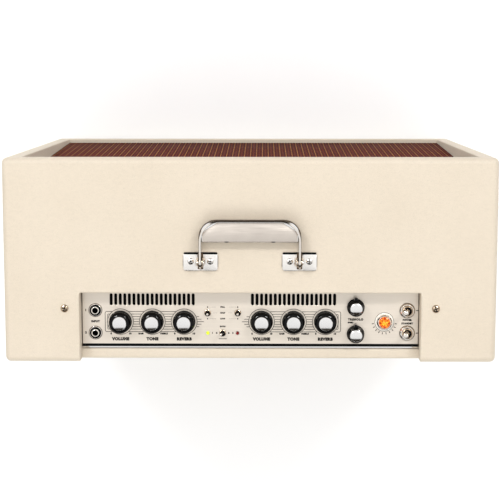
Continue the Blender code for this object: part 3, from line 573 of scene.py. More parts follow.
class Shape:
    """Solids gathered into one mesh, in millimetres. paint is a material's place in the list."""

    def __init__(self):
        self.bm = bmesh.new()

    def keep(self, verts, paint, matrix=None):
        if matrix:
            bmesh.ops.transform(self.bm, matrix=matrix, verts=verts)
        faces = list({face for vert in verts for face in vert.link_faces})
        for face in faces:
            face.material_index = paint
        bmesh.ops.recalc_face_normals(self.bm, faces=faces)
        return self

    def lathe(self, profile, paint=0, matrix=None, steps=40, ring=False):
        """Turns (radius, height, corner radius) points about Z."""
        profile = soften(profile, closed=ring)
        rings = []
        for radius, height in profile:
            places = circle(radius, steps) if radius > 1e-6 else [(0, 0)]
            rings.append([self.bm.verts.new((x, y, height)) for x, y in places])
        pairs = list(zip(rings, rings[1:]))
        if ring:
            pairs.append((rings[-1], rings[0]))
        for lower, upper in pairs:
            for i in range(steps):
                j = (i + 1) % steps
                corners = [lower[i % len(lower)], lower[j % len(lower)]]
                corners += [upper[j % len(upper)], upper[i % len(upper)]]
                corners = list(dict.fromkeys(corners))
                if len(corners) > 2:
                    self.bm.faces.new(corners)
        return self.keep([v for verts in rings for v in verts], paint, matrix)

    def box(self, low, high, edge=0.0, segments=2, paint=0, matrix=None):
        low, high = Vector(low), Vector(high)
        size = Matrix.Diagonal((*(high - low), 1))
        made = bmesh.ops.create_cube(self.bm, matrix=Matrix.Translation((low + high) / 2) @ size)
        verts = made["verts"]
        if edge:
            verts = self.bevel({e for v in verts for e in v.link_edges}, edge, segments, verts)
        return self.keep(verts, paint, matrix)

    def bevel(self, edges, width, segments, verts):
        made = bmesh.ops.bevel(
            self.bm, geom=list(edges), offset=width, segments=segments, profile=0.5, affect="EDGES"
        )
        return list({*made["verts"], *(v for v in verts if v.is_valid)})

    def prism(self, outline, low, high, edge=0.0, segments=2, paint=0, matrix=None):
        """Extrudes a closed outline along Z, with its rims rounded by edge."""
        outline = soften(outline, closed=True)
        lower = [self.bm.verts.new((x, y, low)) for x, y in outline]
        upper = [self.bm.verts.new((x, y, high)) for x, y in outline]
        rims = [self.bm.faces.new(lower[::-1]), self.bm.faces.new(upper)]
        for i in range(len(outline)):
            j = (i + 1) % len(outline)
            self.bm.faces.new([lower[i], lower[j], upper[j], upper[i]])
        verts = lower + upper
        if edge:
            verts = self.bevel({e for face in rims for e in face.edges}, edge, segments, verts)
        return self.keep(verts, paint, matrix)

    def loft(self, sections, paint=0):
        """Joins open lines of one length, each to the next and the last to the first, capped."""
        lines = [[self.bm.verts.new(point) for point in line] for line in sections]
        for first, second in zip(lines, [*lines[1:], lines[0]]):
            for i in range(len(first) - 1):
                self.bm.faces.new([first[i], first[i + 1], second[i + 1], second[i]])
        for end in (0, -1):
            self.bm.faces.new([line[end] for line in lines])
        return self.keep([v for line in lines for v in line], paint)

    def tube(self, points, radius, paint=0, sides=10, matrix=None):
        """A round rod along points, with flat ends."""
        points = [Vector(p) for p in points]
        side = (points[1] - points[0]).orthogonal().normalized()
        rings = []
        for index, point in enumerate(points):
            run = points[min(index + 1, len(points) - 1)] - points[max(index - 1, 0)]
            side = (side - run.normalized() * side.dot(run.normalized())).normalized()
            other = run.normalized().cross(side)
            ring = []
            for x, y in circle(radius, sides):
                ring.append(self.bm.verts.new(point + side * x + other * y))
            rings.append(ring)
        for lower, upper in zip(rings, rings[1:]):
            for i in range(sides):
                j = (i + 1) % sides
                self.bm.faces.new([lower[i], lower[j], upper[j], upper[i]])
        self.bm.faces.new(rings[0][::-1])
        self.bm.faces.new(rings[-1])
        return self.keep([v for ring in rings for v in ring], paint, matrix)

    def stamp(self, mesh, matrix, paint=0, recess=None):
        """Adds a copy of a mesh that was made before. Its faces of material 1 are a recess, which takes the
        recess paint where one is given: a black one is painted shade.
        """
        known = set(self.bm.verts)
        before = set(self.bm.faces)
        self.bm.from_mesh(mesh)
        deep = [f for f in self.bm.faces if f not in before and f.material_index == 1]
        self.keep([v for v in self.bm.verts if v not in known], paint, matrix)
        for face in deep:
            face.material_index = paint if recess is None else recess
        return self

    def mesh(self, name, angle=32, scale=MM):
        mesh = bpy.data.meshes.new(name)
        bmesh.ops.scale(self.bm, vec=(scale,) * 3, verts=self.bm.verts)
        self.bm.to_mesh(mesh)
        self.bm.free()
        smooth(mesh, angle)
        return mesh


def make(name, shape, paints, body="cabinet", place=(0, 0, 0), stands_for=(), turn=(0, 0, 0)):
    """Turns a Shape, or a finished mesh, into a piece that rides on a body."""
    mesh = shape.mesh(name) if isinstance(shape, Shape) else shape
    obj = add_object(name, mesh)
    for paint in paints:
        mesh.materials.append(paint)
    obj.location = Vector(place) * MM
    obj.rotation_euler = turn
    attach(obj, body)
    if stands_for:
        nodes = [stands_for] if isinstance(stands_for, str) else stands_for
        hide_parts(*nodes)
    return obj


def carved(mesh, cutters):
    """A mesh, in mm, with other meshes cut out of it, and its outer edges kept sharp."""
    obj = add_object("carved", mesh)
    helpers = []
    for cutter in cutters:
        helper = add_object("cutter", cutter)
        helpers.append(helper)
        modifier = obj.modifiers.new("cut", "BOOLEAN")
        modifier.operation = "DIFFERENCE"
        modifier.object = helper
        modifier.solver = "EXACT"
    result = finished_mesh(obj)
    for helper in [obj, *helpers]:
        bpy.data.objects.remove(helper)
    return result


def screw_head():
    """A cross-recessed pan head of radius 1 on the plane z = 0."""
    head = Shape().lathe(
        [(0, 0.5), (0.45, 0.48), (0.8, 0.34, 0.3), (1, 0.12, 0.1), (1, 0), (0, 0)], steps=28,
    )
    cross = [Shape(), Shape()]
    for index, shape in enumerate(cross):
        shape.box((-0.62, -0.13, 0.08), (0.62, 0.13, 0.9), matrix=at(turn_z=90 * index + 45))
    mesh = carved(head.mesh("head", scale=1), [shape.mesh("slot", scale=1) for shape in cross])
    for face in mesh.polygons:
        low = face.center.z < 0.42 and face.center.xy.length < 0.66
        face.material_index = 1 if low and face.center.z > 0.04 else 0
    return mesh


SCREW = screw_head()


def hexagon(across):
    return circle(across / math.sqrt(3), 6)


# --- cabinet -----------------------------------------------------------------------------


def cabinet_mesh():
    """The four boards under one skin: a box, open front and rear, with the notch in its top."""
    outer = Shape().box((-HALF_X, FRONT, BASE), (HALF_X, REAR, TOP)).mesh("cabinet", scale=1)
    inner = Shape().box((-INNER_X, FRONT - CUT_PAST, INNER_BASE), (INNER_X, REAR + CUT_PAST, INNER_TOP))
    corner, beyond = NOTCH_ROUND, REAR + CUT_PAST
    outline = [
        (-NOTCH_X, beyond), (-NOTCH_X, NOTCH_Y, corner), (NOTCH_X, NOTCH_Y, corner), (NOTCH_X, beyond),
    ]
    notch = Shape().prism(outline, INNER_TOP - 4, TOP + CUT_PAST)
    mesh = carved(outer, [inner.mesh("inner", scale=1), notch.mesh("notch", scale=1)])
    bm = bmesh.new()
    bm.from_mesh(mesh)
    bmesh.ops.dissolve_limit(bm, angle_limit=math.radians(1), verts=bm.verts, edges=bm.edges)
    for y in (FRONT + 40, REAR - 30):
        bmesh.ops.bisect_plane(
            bm, geom=[*bm.verts, *bm.edges, *bm.faces], plane_co=(0, y, 0), plane_no=(0, 1, 0)
        )
    weight = bm.edges.layers.float.new("bevel_weight_edge")
    for edge in bm.edges:
        if len(edge.link_faces) != 2 or edge.calc_face_angle(0) < math.radians(50):
            continue
        spot = (edge.verts[0].co + edge.verts[1].co) / 2
        outside = abs(abs(spot.x) - HALF_X) < 0.1
        outside += abs(abs(spot.y) - REAR) < 0.1
        outside += abs(spot.z - TOP) < 0.1 or abs(spot.z - BASE) < 0.1
        edge[weight] = 1.0 if outside >= 2 else 0.25
    for face in bm.faces:
        spot = face.calc_center_median()
        inside = abs(spot.x) < INNER_X + 0.1 and INNER_BASE - 0.1 < spot.z < INNER_TOP + 0.1
        face.material_index = 1 if inside and FRONT + 40 < spot.y < REAR - 30 else 0
    bm.to_mesh(mesh)
    bm.free()
    mesh.transform(Matrix.Scale(MM, 4))
    return mesh


def build_cabinet():
    boards = ["top_board", "bottom_board", "side_board_left", "side_board_right"]
    cabinet = make("cabinet_skin", cabinet_mesh(), [VINYL, PLYWOOD], stands_for=boards)
    bevel = cabinet.modifiers.new("rounded_edges", "BEVEL")
    bevel.limit_method = "WEIGHT"
    bevel.width = 6 * MM
    bevel.segments = 5
    smooth(cabinet.data, 35)


def build_back_panels():
    for name in ("back_panel_upper", "back_panel_lower"):
        low, high = span(name)
        shape = Shape().box(low, high, edge=2.6, segments=4)
        shape.box(low + Vector((3, -0.1, 3)), (high.x - 3, low.y + 0.4, high.z - 3), paint=1)
        make(f"{name}_covered", shape, [VINYL, PLYWOOD], stands_for=name)
        screws = Shape()
        rows = [high.z - 12, low.z + 12] if name.endswith("lower") else [high.z - 12]
        cup = [(0, 0.1), (7, 0.1), (6.6, 0.8, 0.4), (4.6, 1.1, 0.3), (0, 0.5)]
        for x in (-236, -80, 80, 236):
            for z in rows if abs(x) > 200 else rows[-1:]:
                spot = at(x, high.y - 0.25, z, turn_x=-90)
                screws.lathe(cup, matrix=spot, steps=28)
                # the cross recess is painted black as painted shade
                screws.stamp(SCREW, spot @ at(z=0.35, scale=2.1, turn_z=17 * x + z), 0, 1)
        make(f"{name}_screws", screws, [NICKEL, SHADOW])


def build_feet():
    for end in ("front", "rear"):
        for side in ("left", "right"):
            node = f"foot_{end}_{side}"
            spot = middle(node)
            top = span(node)[1].z
            profile = [
                (0, top), (16, top, 0.8), (14.2, 1.8, 1.5), (12.6, 0, 0.8), (6, 0, 1), (5, 4.5, 0.6),
                (0, 4.5),
            ]
            foot = Shape().lathe(profile, steps=48)
            foot.lathe(band(0, 4.6, 4.6, 4), paint=1)
            foot.stamp(SCREW, at(z=4.05, turn_x=180, scale=3.4), 1)
            make(
                f"rubber_{node}", foot, [RUBBER, ZINC], place=(spot.x, spot.y, 0), stands_for=node,
            )


def build_cleats():
    """Wooden battens inside the cabinet that the baffle and the back panels are screwed to."""
    shape = Shape()
    for sign in (-1, 1):
        depth = 15
        for node in ("back_panel_upper", "back_panel_lower"):
            low, high = span(node)
            xs = sorted((sign * (INNER_X - 15), sign * (INNER_X - 0.3)))
            shape.box((xs[0], low.y - depth - 0.4, low.z + 2), (xs[1], low.y - 0.4, high.z - 3), edge=0.8)
        xs = sorted((sign * (INNER_X - 20), sign * (INNER_X - 0.3)))
        lean = Matrix.Rotation(-TILT, 4, "X")
        rear = middle("speaker_baffle") + CONE_AXIS * 6.5
        shape.box(
            (xs[0], 0, -188), (xs[1], 19, 188), edge=0.8,
            matrix=Matrix.Translation((0, rear.y, rear.z)) @ lean,
        )
    make("wood_cleats", shape, [PLYWOOD])


def build_grille():
    """Cloth stretched over the baffle: ribs run up it."""
    low, high = span("grille_cloth")
    centre = (low + high) / 2
    half_x = high.x
    half_z = (high.z - low.z) / 2 / math.cos(TILT)
    columns, rows = 620, 4
    bm = bmesh.new()
    grid = []
    for row in range(rows + 1):
        line = []
        for column in range(columns + 1):
            x = -half_x + 2 * half_x * column / columns
            z = -half_z + 2 * half_z * row / rows
            rib = -0.14 * math.cos(4 * math.pi * x / CLOTH_PITCH)
            line.append(bm.verts.new((x * MM, (rib - 0.2) * MM, z * MM)))
        grid.append(line)
    for lower, upper in zip(grid, grid[1:]):
        for i in range(columns):
            bm.faces.new([lower[i], lower[i + 1], upper[i + 1], upper[i]])
    mesh = bpy.data.meshes.new("grille_cloth_woven")
    bm.to_mesh(mesh)
    bm.free()
    mesh.shade_smooth()
    cloth = make(
        "grille_cloth_woven", mesh, [CLOTH], place=centre, stands_for="grille_cloth",
        turn=(-TILT, 0, 0),
    )
    thick = cloth.modifiers.new("cloth_thickness", "SOLIDIFY")
    thick.thickness = 0.5 * MM
    thick.offset = 0


# --- control panel -----------------------------------------------------------------------


def flat_plate(name, outline, holes, low, high, edge):
    """A flat plate with holes, from a filled 2D curve, in mm."""
    curve = bpy.data.curves.new(name, "CURVE")
    curve.dimensions = "2D"
    curve.fill_mode = "BOTH"
    curve.extrude = (high - low) / 2 - edge
    curve.bevel_depth = edge
    curve.bevel_resolution = 1
    curve.offset = -edge
    for points in [outline, *holes]:
        spline = curve.splines.new("POLY")
        spline.points.add(len(points) - 1)
        for point, (x, y) in zip(spline.points, points):
            point.co = (x, y, 0, 1)
        spline.use_cyclic_u = True
    guide = add_object(name, curve)
    mesh = finished_mesh(guide)
    bpy.data.objects.remove(guide)
    bm = bmesh.new()
    bm.from_mesh(mesh)
    bmesh.ops.remove_doubles(bm, verts=bm.verts, dist=0.001)
    bmesh.ops.translate(bm, verts=bm.verts, vec=(0, 0, (high + low) / 2))
    bm.to_mesh(mesh)
    bm.free()
    return mesh


KNOBS = [n for n in frame["nodes"] if n.startswith("knob_")]
KNOB_SPOT = {n: pivot(n.replace("knob_", "") + "_turn") for n in KNOBS}
MINI_TOGGLES = ("toggle_level_1", "toggle_level_2", "toggle_channel")
MINI_SPOT = {n: pivot(n.replace("toggle_", "") + "_throw") for n in MINI_TOGGLES}
POWER_SPOT = {n: pivot(n.replace("toggle_", "") + "_throw") for n in ("toggle_power", "toggle_standby")}
JACK_SPOT = {n: middle(n) for n in ("input_jack_1", "input_jack_2")}
LED_SPOT = {n: middle(n) for n in ("led_channel_1", "led_channel_2")}
PILOT_SPOT = middle("pilot_bezel")
GROUP_X = {1: KNOB_SPOT["knob_tone_1"].x, 2: KNOB_SPOT["knob_tone_2"].x}
ROW_Y = KNOB_SPOT["knob_tone_1"].y
KNOB_PITCH = 35
VENTS = 19
VENT_PITCH = 5.0
VENT_Y = (38.4, 51.6)


def vent_outlines():
    low, high = VENT_Y
    outlines = []
    for group_x in GROUP_X.values():
        for index in range(VENTS):
            x = group_x + (index - (VENTS - 1) / 2) * VENT_PITCH
            slot = rectangle(x - VENT_HALF_WIDTH, low, x + VENT_HALF_WIDTH, high, 1.64)
            outlines.append(soften(slot, closed=True, steps=5))
    return outlines


def build_panel():
    low, high = span("control_panel")
    outline = soften(rectangle(low.x, low.y, high.x, high.y, 1), closed=True)
    holes = vent_outlines()
    holes += [circle(3.9, 20, spot.xy) for spot in KNOB_SPOT.values()]
    holes += [circle(3.3, 20, spot.xy) for spot in MINI_SPOT.values()]
    holes += [circle(5.1, 28, spot.xy) for spot in JACK_SPOT.values()]
    holes += [circle(6.4, 28, spot.xy) for spot in POWER_SPOT.values()]
    holes += [circle(6.0, 28, PILOT_SPOT.xy)]
    holes += [circle(1.9, 16, spot.xy) for spot in LED_SPOT.values()]
    mesh = flat_plate("panel_plate", outline, holes, low.z, high.z, 0.15)
    mesh.transform(Matrix.Scale(MM, 4))
    smooth(mesh, 20)
    make("panel_plate", mesh, [PANEL_PAINT], stands_for="control_panel")


def build_panel_surround():
    """Black sheets under the vents and a black strip in the gap behind the panel as painted shade, brown
    strips at the panel's ends as painted shade, and a bright strip on the chassis rim as painted highlight.
    """
    low, high = span("control_panel")
    # painted shade: black sheets that make the vents read as dark holes
    vent_shade_sheet = Shape()
    for group_x in GROUP_X.values():
        half = VENTS * VENT_PITCH / 2 + 2
        vent_shade_sheet.box((group_x - half, 36.6, low.z - 2.6), (group_x + half, 53.4, low.z - 2.0), edge=0.1)
    make("vent_screens", vent_shade_sheet, [SHADOW])
    lip = span("chassis_tray")[1].y - 1.5
    # painted shade: a black strip filling the dark gap between the panel and the chassis lip
    gap_shade = Shape().box((low.x, high.y + 0.1, high.z - 4), (high.x, lip - 0.1, high.z), edge=0.2)
    gap_shade.box((low.x, high.y - 0.5, high.z + 0.02), (high.x, lip + 0.3, high.z + 0.12), edge=0.03)
    make("panel_gasket", gap_shade, [SHADOW])
    # painted shade: brown strips for the shadow where the panel meets the notch walls
    ends = Shape()
    for sign in (-1, 1):
        xs = sorted((sign * (NOTCH_X - 0.15), sign * (NOTCH_X - 1.1)))
        ends.box((xs[0], low.y + 0.5, high.z + 0.02), (xs[1], lip - 0.1, high.z + 0.5), edge=0.15)
    make("panel_end_seals", ends, [BROWN])
    # painted highlight: a bright aluminium strip for the light caught along the chassis rim
    rim = span("chassis_tray")[1]
    rim_highlight_strip = Shape().box((-rim.x, lip + 0.4, rim.z + 0.1), (rim.x, lip + 1.9, rim.z + 0.35), edge=0.1)
    make("chassis_lip", rim_highlight_strip, [CAP])


INK_LOW, INK_HIGH = 0.0, 0.05
LINE = 0.6
KNOB_RING = 14.2


def ring_strip(shape, centre, radius, width=LINE):
    """A printed circle."""
    half = width / 2
    profile = band(radius - half, radius + half, INK_LOW, INK_HIGH)
    shape.lathe(profile, matrix=at(*centre, PANEL), steps=72, ring=True)


def stroke(shape, x1, y1, x2, y2, width=LINE):
    """A printed straight line."""
    run = Vector((x2 - x1, y2 - y1))
    turn = math.degrees(math.atan2(run.y, run.x))
    half = width / 2
    place = at(x1, y1, PANEL, turn_z=turn)
    shape.box((0, -half, INK_LOW), (run.length, half, INK_HIGH), matrix=place)


def end_bracket(shape, x_end, sign, reach, inset):
    """The printed rounded end of a knob group's frame, inset from the outermost one."""
    half = reach - inset
    corner = 3.4 - inset * 0.6
    x_out = x_end - sign * inset
    x_in = x_out - sign * corner
    line = [
        (x_in, ROW_Y - half), (x_out, ROW_Y - half, corner), (x_out, ROW_Y + half, corner),
        (x_in, ROW_Y + half),
    ]
    points = soften(line, steps=6)
    for first, second in zip(points, points[1:]):
        stroke(shape, *first, *second)
    return x_in


def print_knob_groups(shape):
    """Rings round the large knobs, and the lines that frame each three of them."""
    pitch, lines = 2.8, 4
    for group, group_x in GROUP_X.items():
        outer_sign = 1 if group == 1 else -1
        centres = [group_x + step * KNOB_PITCH for step in (-1, 0, 1)]
        for centre in centres:
            ring_strip(shape, (centre, ROW_Y), KNOB_RING)
        outer = group_x + outer_sign * 51.8
        inner_edge = group_x - outer_sign * (KNOB_PITCH + KNOB_RING)
        joins = {0: end_bracket(shape, outer, outer_sign, lines * pitch, 0)}
        joins[1] = end_bracket(shape, outer, outer_sign, lines * pitch, pitch)
        for index in range(-lines, lines + 1):
            y = ROW_Y + index * pitch
            cut = math.sqrt(max(0, KNOB_RING**2 - (index * pitch) ** 2)) + 0.5
            for left, right in zip(centres, centres[1:]):
                stroke(shape, left + cut, y, right - cut, y)
            ring_edge = group_x + outer_sign * (KNOB_PITCH + cut)
            if abs(index) >= lines - 1:
                stroke(shape, ring_edge, y, joins[lines - abs(index)], y)
            if abs(index) <= 2:
                start = group_x - outer_sign * (KNOB_PITCH + cut)
                tip = inner_edge - outer_sign * (7.4 - 2.6 * abs(index))
                stroke(shape, start, y, tip, y)


def print_switch_marks(shape):
    """Dots, dashes and short lines at the positions of the switches."""
    left, right = MINI_SPOT["toggle_level_1"], MINI_SPOT["toggle_level_2"]
    for dy in (-6.5, 6.5):
        for spot in (left, right):
            shape.lathe(band(0, 0.75, 0, INK_HIGH), matrix=at(spot.x, spot.y + dy, PANEL), steps=20)
    for dy in (-6.5, 0, 6.5):
        for spot, sign in ((left, -1), (right, 1)):
            near = 2.2 if dy else 6.2
            count = 5 if dy else 3
            for index in range(count):
                x = spot.x + sign * (near + 1.5 * index)
                stroke(shape, x, spot.y + dy, x + sign * 0.8, spot.y + dy, 0.28)
    channel = MINI_SPOT["toggle_channel"]
    for sign in (-1, 1):
        spot = (channel.x + sign * 6.6, channel.y, PANEL)
        shape.lathe(band(0, 0.9, 0, INK_HIGH), matrix=at(*spot), steps=20)
    stroke(shape, channel.x - 4.4, channel.y + 6.4, channel.x + 4.4, channel.y + 6.4, 0.6)
    for spot in POWER_SPOT.values():
        stroke(shape, spot.x - 9.6, spot.y, spot.x - 12.6, spot.y, 0.9)


def print_pilot_marks(shape):
    """A ring round the pilot lamp, and ticks along half of it."""
    ring_strip(shape, PILOT_SPOT.xy, 10.4, 0.4)
    for index in range(10):
        tick = Vector(polar(1, 9 + 18 * index))
        start, end = PILOT_SPOT.xy + tick * 11.6, PILOT_SPOT.xy + tick * 13.8
        stroke(shape, *start, *end, 0.8)


def build_print():
    """Everything printed on the panel except its lettering."""
    shape = Shape()
    print_knob_groups(shape)
    print_switch_marks(shape)
    print_pilot_marks(shape)
    make("panel_lines", shape, [INK])
    ivory = Shape().lathe(band(8.6, 10.1, 0.02, 0.1), matrix=at(*PILOT_SPOT.xy, PANEL), ring=True, steps=64)
    make("pilot_ring", ivory, [IVORY])


CAPITAL_SHARE = 0.72  # a capital's height as a share of the font's size


def write(text, x, y, height, spacing=1.0):
    """Plain lettering centred at a place, read from behind the amplifier."""
    curve = bpy.data.curves.new("lettering", "FONT")
    curve.body = text
    curve.size = height * MM / CAPITAL_SHARE
    curve.align_x = "CENTER"
    curve.align_y = "CENTER"
    curve.space_character = spacing
    curve.extrude = 0.02 * MM
    curve.offset = 0.125 * MM * height
    curve.resolution_u = 3
    obj = add_object("lettering", curve)
    obj.location = Vector((x, y, PANEL + 0.03)) * MM
    obj.rotation_euler = (0, 0, math.pi)
    return obj


def build_lettering():
    """Plain words for each control's use, as one piece."""
    words = []
    for group_x in GROUP_X.values():
        for step, word in ((1, "VOLUME"), (0, "TONE"), (-1, "REVERB")):
            x = group_x + step * KNOB_PITCH
            words.append(write(word, x, ROW_Y + 19.4, 3.1, 1.15))
            first, last, size, reach = (
                "BASS", "TREBLE", 1.7, 12.6,
            ) if word == "TONE" else ("0", "10", 1.9, 10.4)
            words.append(write(first, x + reach, ROW_Y + 13.4, size, 1.1))
            words.append(write(last, x - reach, ROW_Y + 13.4, size, 1.1))
    jack_x = JACK_SPOT["input_jack_1"].x
    for number, name in enumerate(JACK_SPOT, start=1):
        words.append(write(str(number), jack_x + 10.6, JACK_SPOT[name].y, 2.2))
    between = (JACK_SPOT["input_jack_1"].y + JACK_SPOT["input_jack_2"].y) / 2
    words.append(write("INPUT", jack_x, between, 2.1, 1.15))
    tremolo = [KNOB_SPOT["knob_tremolo_depth"], KNOB_SPOT["knob_tremolo_speed"]]
    between = sum(t.y for t in tremolo) / 2
    words.append(write("TREMOLO", tremolo[0].x, between - 1.2, 2.2, 1.25))
    words.append(write("SPEED", tremolo[0].x + 5.5, between + 2.2, 1.5, 1.1))
    power_x = POWER_SPOT["toggle_power"].x
    row = (POWER_SPOT["toggle_power"].y + POWER_SPOT["toggle_standby"].y) / 2
    words.append(write("POWER", power_x, row - 1.9, 1.9, 1.1))
    words.append(write("STANDBY", power_x, row + 1.9, 1.9, 1.1))
    centre_x = (MINI_SPOT["toggle_level_1"].x + MINI_SPOT["toggle_level_2"].x) / 2
    for dy, word in ((-6.5, "FULL"), (0, "HALF"), (6.5, "LOW")):
        words.append(write(word, centre_x, MINI_SPOT["toggle_level_1"].y + dy, 1.5, 1.1))
    channel = MINI_SPOT["toggle_channel"]
    words.append(write("BOTH", channel.x, channel.y - 7.2, 1.5, 1.1))
    for sign, word in ((1, "1"), (-1, "2")):
        words.append(write(word, channel.x + sign * 11.2, channel.y, 1.7))
    bpy.context.view_layer.update()
    graph = bpy.context.evaluated_depsgraph_get()
    bm = bmesh.new()
    for word in words:
        mesh = bpy.data.meshes.new_from_object(word.evaluated_get(graph))
        mesh.transform(word.matrix_world)
        bm.from_mesh(mesh)
        bpy.data.objects.remove(word)
    bmesh.ops.remove_doubles(bm, verts=bm.verts, dist=1e-7)
    lettering = bpy.data.meshes.new("panel_lettering")
    bm.to_mesh(lettering)
    bm.free()
    make("panel_lettering", lettering, [INK])


def knob_shape(radius, height, nose):
    """A glossy knob with a sloping shoulder round a bright cap. Its pointer is at -Y."""
    shape = Shape()
    cap = 6.6 if nose else 7.5
    rim = height - (1.9 if nose else 1.6)
    waist = (radius - 0.7, rim - 3.6)
    if nose:
        skirt = 2.0
        outline = [(-3.4, -5), (-1.5, -radius - 2.1, 1.2), (1.5, -radius - 2.1, 1.2), (3.4, -5)]
        shape.prism(outline, 0.9, 9.2, edge=0.8, segments=3)
    else:
        skirt = 2.4
        shape.box(
            (-0.6, -11.9, -0.3), (0.6, -9.6, 0.25), edge=0.15, paint=3,
            matrix=at(z=rim - 2.1, turn_x=33),
        )
        shape.box((-0.6, -radius - 0.05, 0.9), (0.6, -radius + 0.9, 2.75), edge=0.15, paint=3)
    shoulder = [(0, rim), (cap + 0.7, rim, 0.5), (radius - 2.2, rim - 0.9, 2.6), waist, (0, waist[1])]
    shape.lathe(shoulder, steps=72)
    side = [
        (0, waist[1]), waist, (radius - 0.5, 3, 0.8), (radius, skirt, 0.4), (radius, 0.7, 0.3),
        (0, 0.7),
    ]
    shape.lathe(side, paint=4, steps=72)
    shape.lathe(band(0, 3, -11.3, 1), paint=2, steps=20)
    bow = 16 if nose else 23.6
    dome = []
    for index in range(9):
        reach = (cap - 0.2) * index / 8
        dome.append((reach, height - bow + math.sqrt(bow**2 - reach**2)))
    shape.lathe([*dome, (cap, dome[-1][1] - 0.25), (cap, rim - 0.3), (0, rim - 0.3)], paint=1, steps=72)
    return shape


# Degrees that each knob's pointer is turned by at rest
KNOB_SET = {
    "knob_volume_1": -35, "knob_tone_1": 38, "knob_reverb_1": -56,
    "knob_volume_2": -72, "knob_tone_2": -34, "knob_reverb_2": -125,
    "knob_tremolo_depth": 0, "knob_tremolo_speed": 0,
}


def build_knobs():
    for name, spot in KNOB_SPOT.items():
        nose = "tremolo" in name
        low, high = span(name)
        radius = (high.x - low.x) / 2
        shape = knob_shape(9.6 if nose else radius, high.z - PANEL, nose)
        make(
            f"{name}_turned", shape, [GLOSS, CAP, NICKEL, IVORY, MATT], body=name,
            place=(spot.x, spot.y, PANEL), stands_for=name,
            turn=(0, 0, -math.radians(KNOB_SET[name])),
        )


def make_lever(name, spot, sizes, lean):
    """A toggle's bat. The sizes are its length and the radii of its ball, neck and tip."""
    length, ball, neck, tip = sizes
    profile = [
        (0, length), (tip, length, tip * 0.95), (tip, length - 2.2 * tip, tip), (neck, ball * 1.3, 0.6),
        (ball, ball * 0.7, ball * 0.5), (ball, -ball, ball * 0.7), (0, -ball),
    ]
    shape = Shape().lathe(profile, steps=32)
    make(
        f"{name}_bat", shape, [NICKEL], body=name, place=spot, stands_for=name,
        turn=(0, lean, 0),
    )


def threaded(radius, low, high, pitch=0.7):
    """The outside of a threaded bush, from top to bottom."""
    count = max(2, int((high - low) / pitch))
    step = (high - low) / count
    points = []
    for index in range(count):
        top = high - index * step
        points += [(radius, top - 0.25 * step), (radius - 0.3, top - 0.75 * step)]
    return points


def build_switches():
    for name, spot in POWER_SPOT.items():
        body = name.replace("toggle", "switch")
        shape = Shape()
        profile = [
            (3.7, 5.2), (4.1, 5.5, 0.1), (5.0, 5.5, 0.3), *threaded(5.9, 3.2, 5.0), (5.7, 3), (5.7, -2),
            (3.7, -2),
        ]
        shape.lathe(profile, paint=3, ring=True)
        shape.lathe(band(3.65, 4.7, 5.4, 5.65, 0.1), paint=1, ring=True, steps=48)
        nut = [(6, 3), (6.8, 3, 0.3), (8.0, 1.9, 0.3), (8.0, 1.0, 0.2), (6, 1.0)]
        shape.lathe(nut, ring=True, steps=56)
        # painted shadow: a dark ring peeking out under the nut
        shape.lathe([(6, 0.9), (8.5, 0.6, 0.2), (8.5, 0.1, 0.2), (6, 0.1)], paint=4, ring=True, steps=56)
        low, high = (-12.8, -6.5, -23), (12.8, 6.5, -2.6)
        shape.box(low, high, edge=0.8, paint=1)
        shape.lathe(band(0, 3.9, -2.4, -1.9), paint=1, steps=24)
        for x in (-8, 0, 8):
            shape.box((x - 0.4, -2.5, -29), (x + 0.4, 2.5, -22.8), edge=0.1, paint=2)
        make(
            f"{body}_body", shape, [NICKEL, GLOSS, BRASS, WARM, SHADE_STEEL],
            place=(spot.x, spot.y, PANEL), stands_for=body,
        )
        make_lever(name, spot, (16.5, 3, 1.7, 3), LEVER_LEAN)
    for name, spot in MINI_SPOT.items():
        make_lever(name, spot, (9.5, 1.6, 0.8, 1.3), LEVER_LEAN if name == "toggle_channel" else 0)


def build_control_board():
    """The circuit board under the panel, with its pots, and the small switches' bushes."""
    low, high = span("control_board")
    board_top = low.z + 1.6
    shape = Shape().box(low, (high.x, high.y, board_top), edge=0.1, paint=0)
    for spot in KNOB_SPOT.values():
        can = [(3.4, 9.4), (5, 9.4, 0.3), (5, 6.6), (8.2, 6.6, 0.6), (8.2, 0.1), (3.4, 0.1)]
        shape.lathe(can, paint=1, matrix=at(spot.x, spot.y, board_top), ring=True, steps=32)
    for spot in MINI_SPOT.values():
        size = PANEL - 2.6 - board_top
        shape.box(
            (-3.4, -3.4, 0), (3.4, 3.4, size), edge=0.3, paint=2, matrix=at(spot.x, spot.y, board_top),
        )
    make("control_circuit", shape, [CIRCUIT, ZINC, GLOSS], stands_for="control_board")
    bushes = Shape()
    for spot in MINI_SPOT.values():
        place = at(spot.x, spot.y, PANEL, turn_z=10)
        profile = [
            (1.95, 4.5), (2.6, 4.5, 0.2), *threaded(2.9, 2.2, 4.3, 0.5), (2.9, 2.1), (2.9, 0.1),
            (1.95, 0.1),
        ]
        bushes.lathe(profile, paint=2, matrix=place, ring=True, steps=32)
        bushes.lathe(
            [(2.95, 2.1, 0.2), (3.9, 1.5, 0.2), (3.9, 0.6, 0.1), (2.95, 0.6)], matrix=place, ring=True,
            steps=6,
        )
        # painted shade: a dark ring peeking out under the nut
        bushes.lathe(band(2.9, 3.7, 0.05, 0.5, 0.1), paint=1, matrix=place, ring=True, steps=40)
    make("small_switch_bushes", bushes, [WARM, SHADE_STEEL, GLOSS])


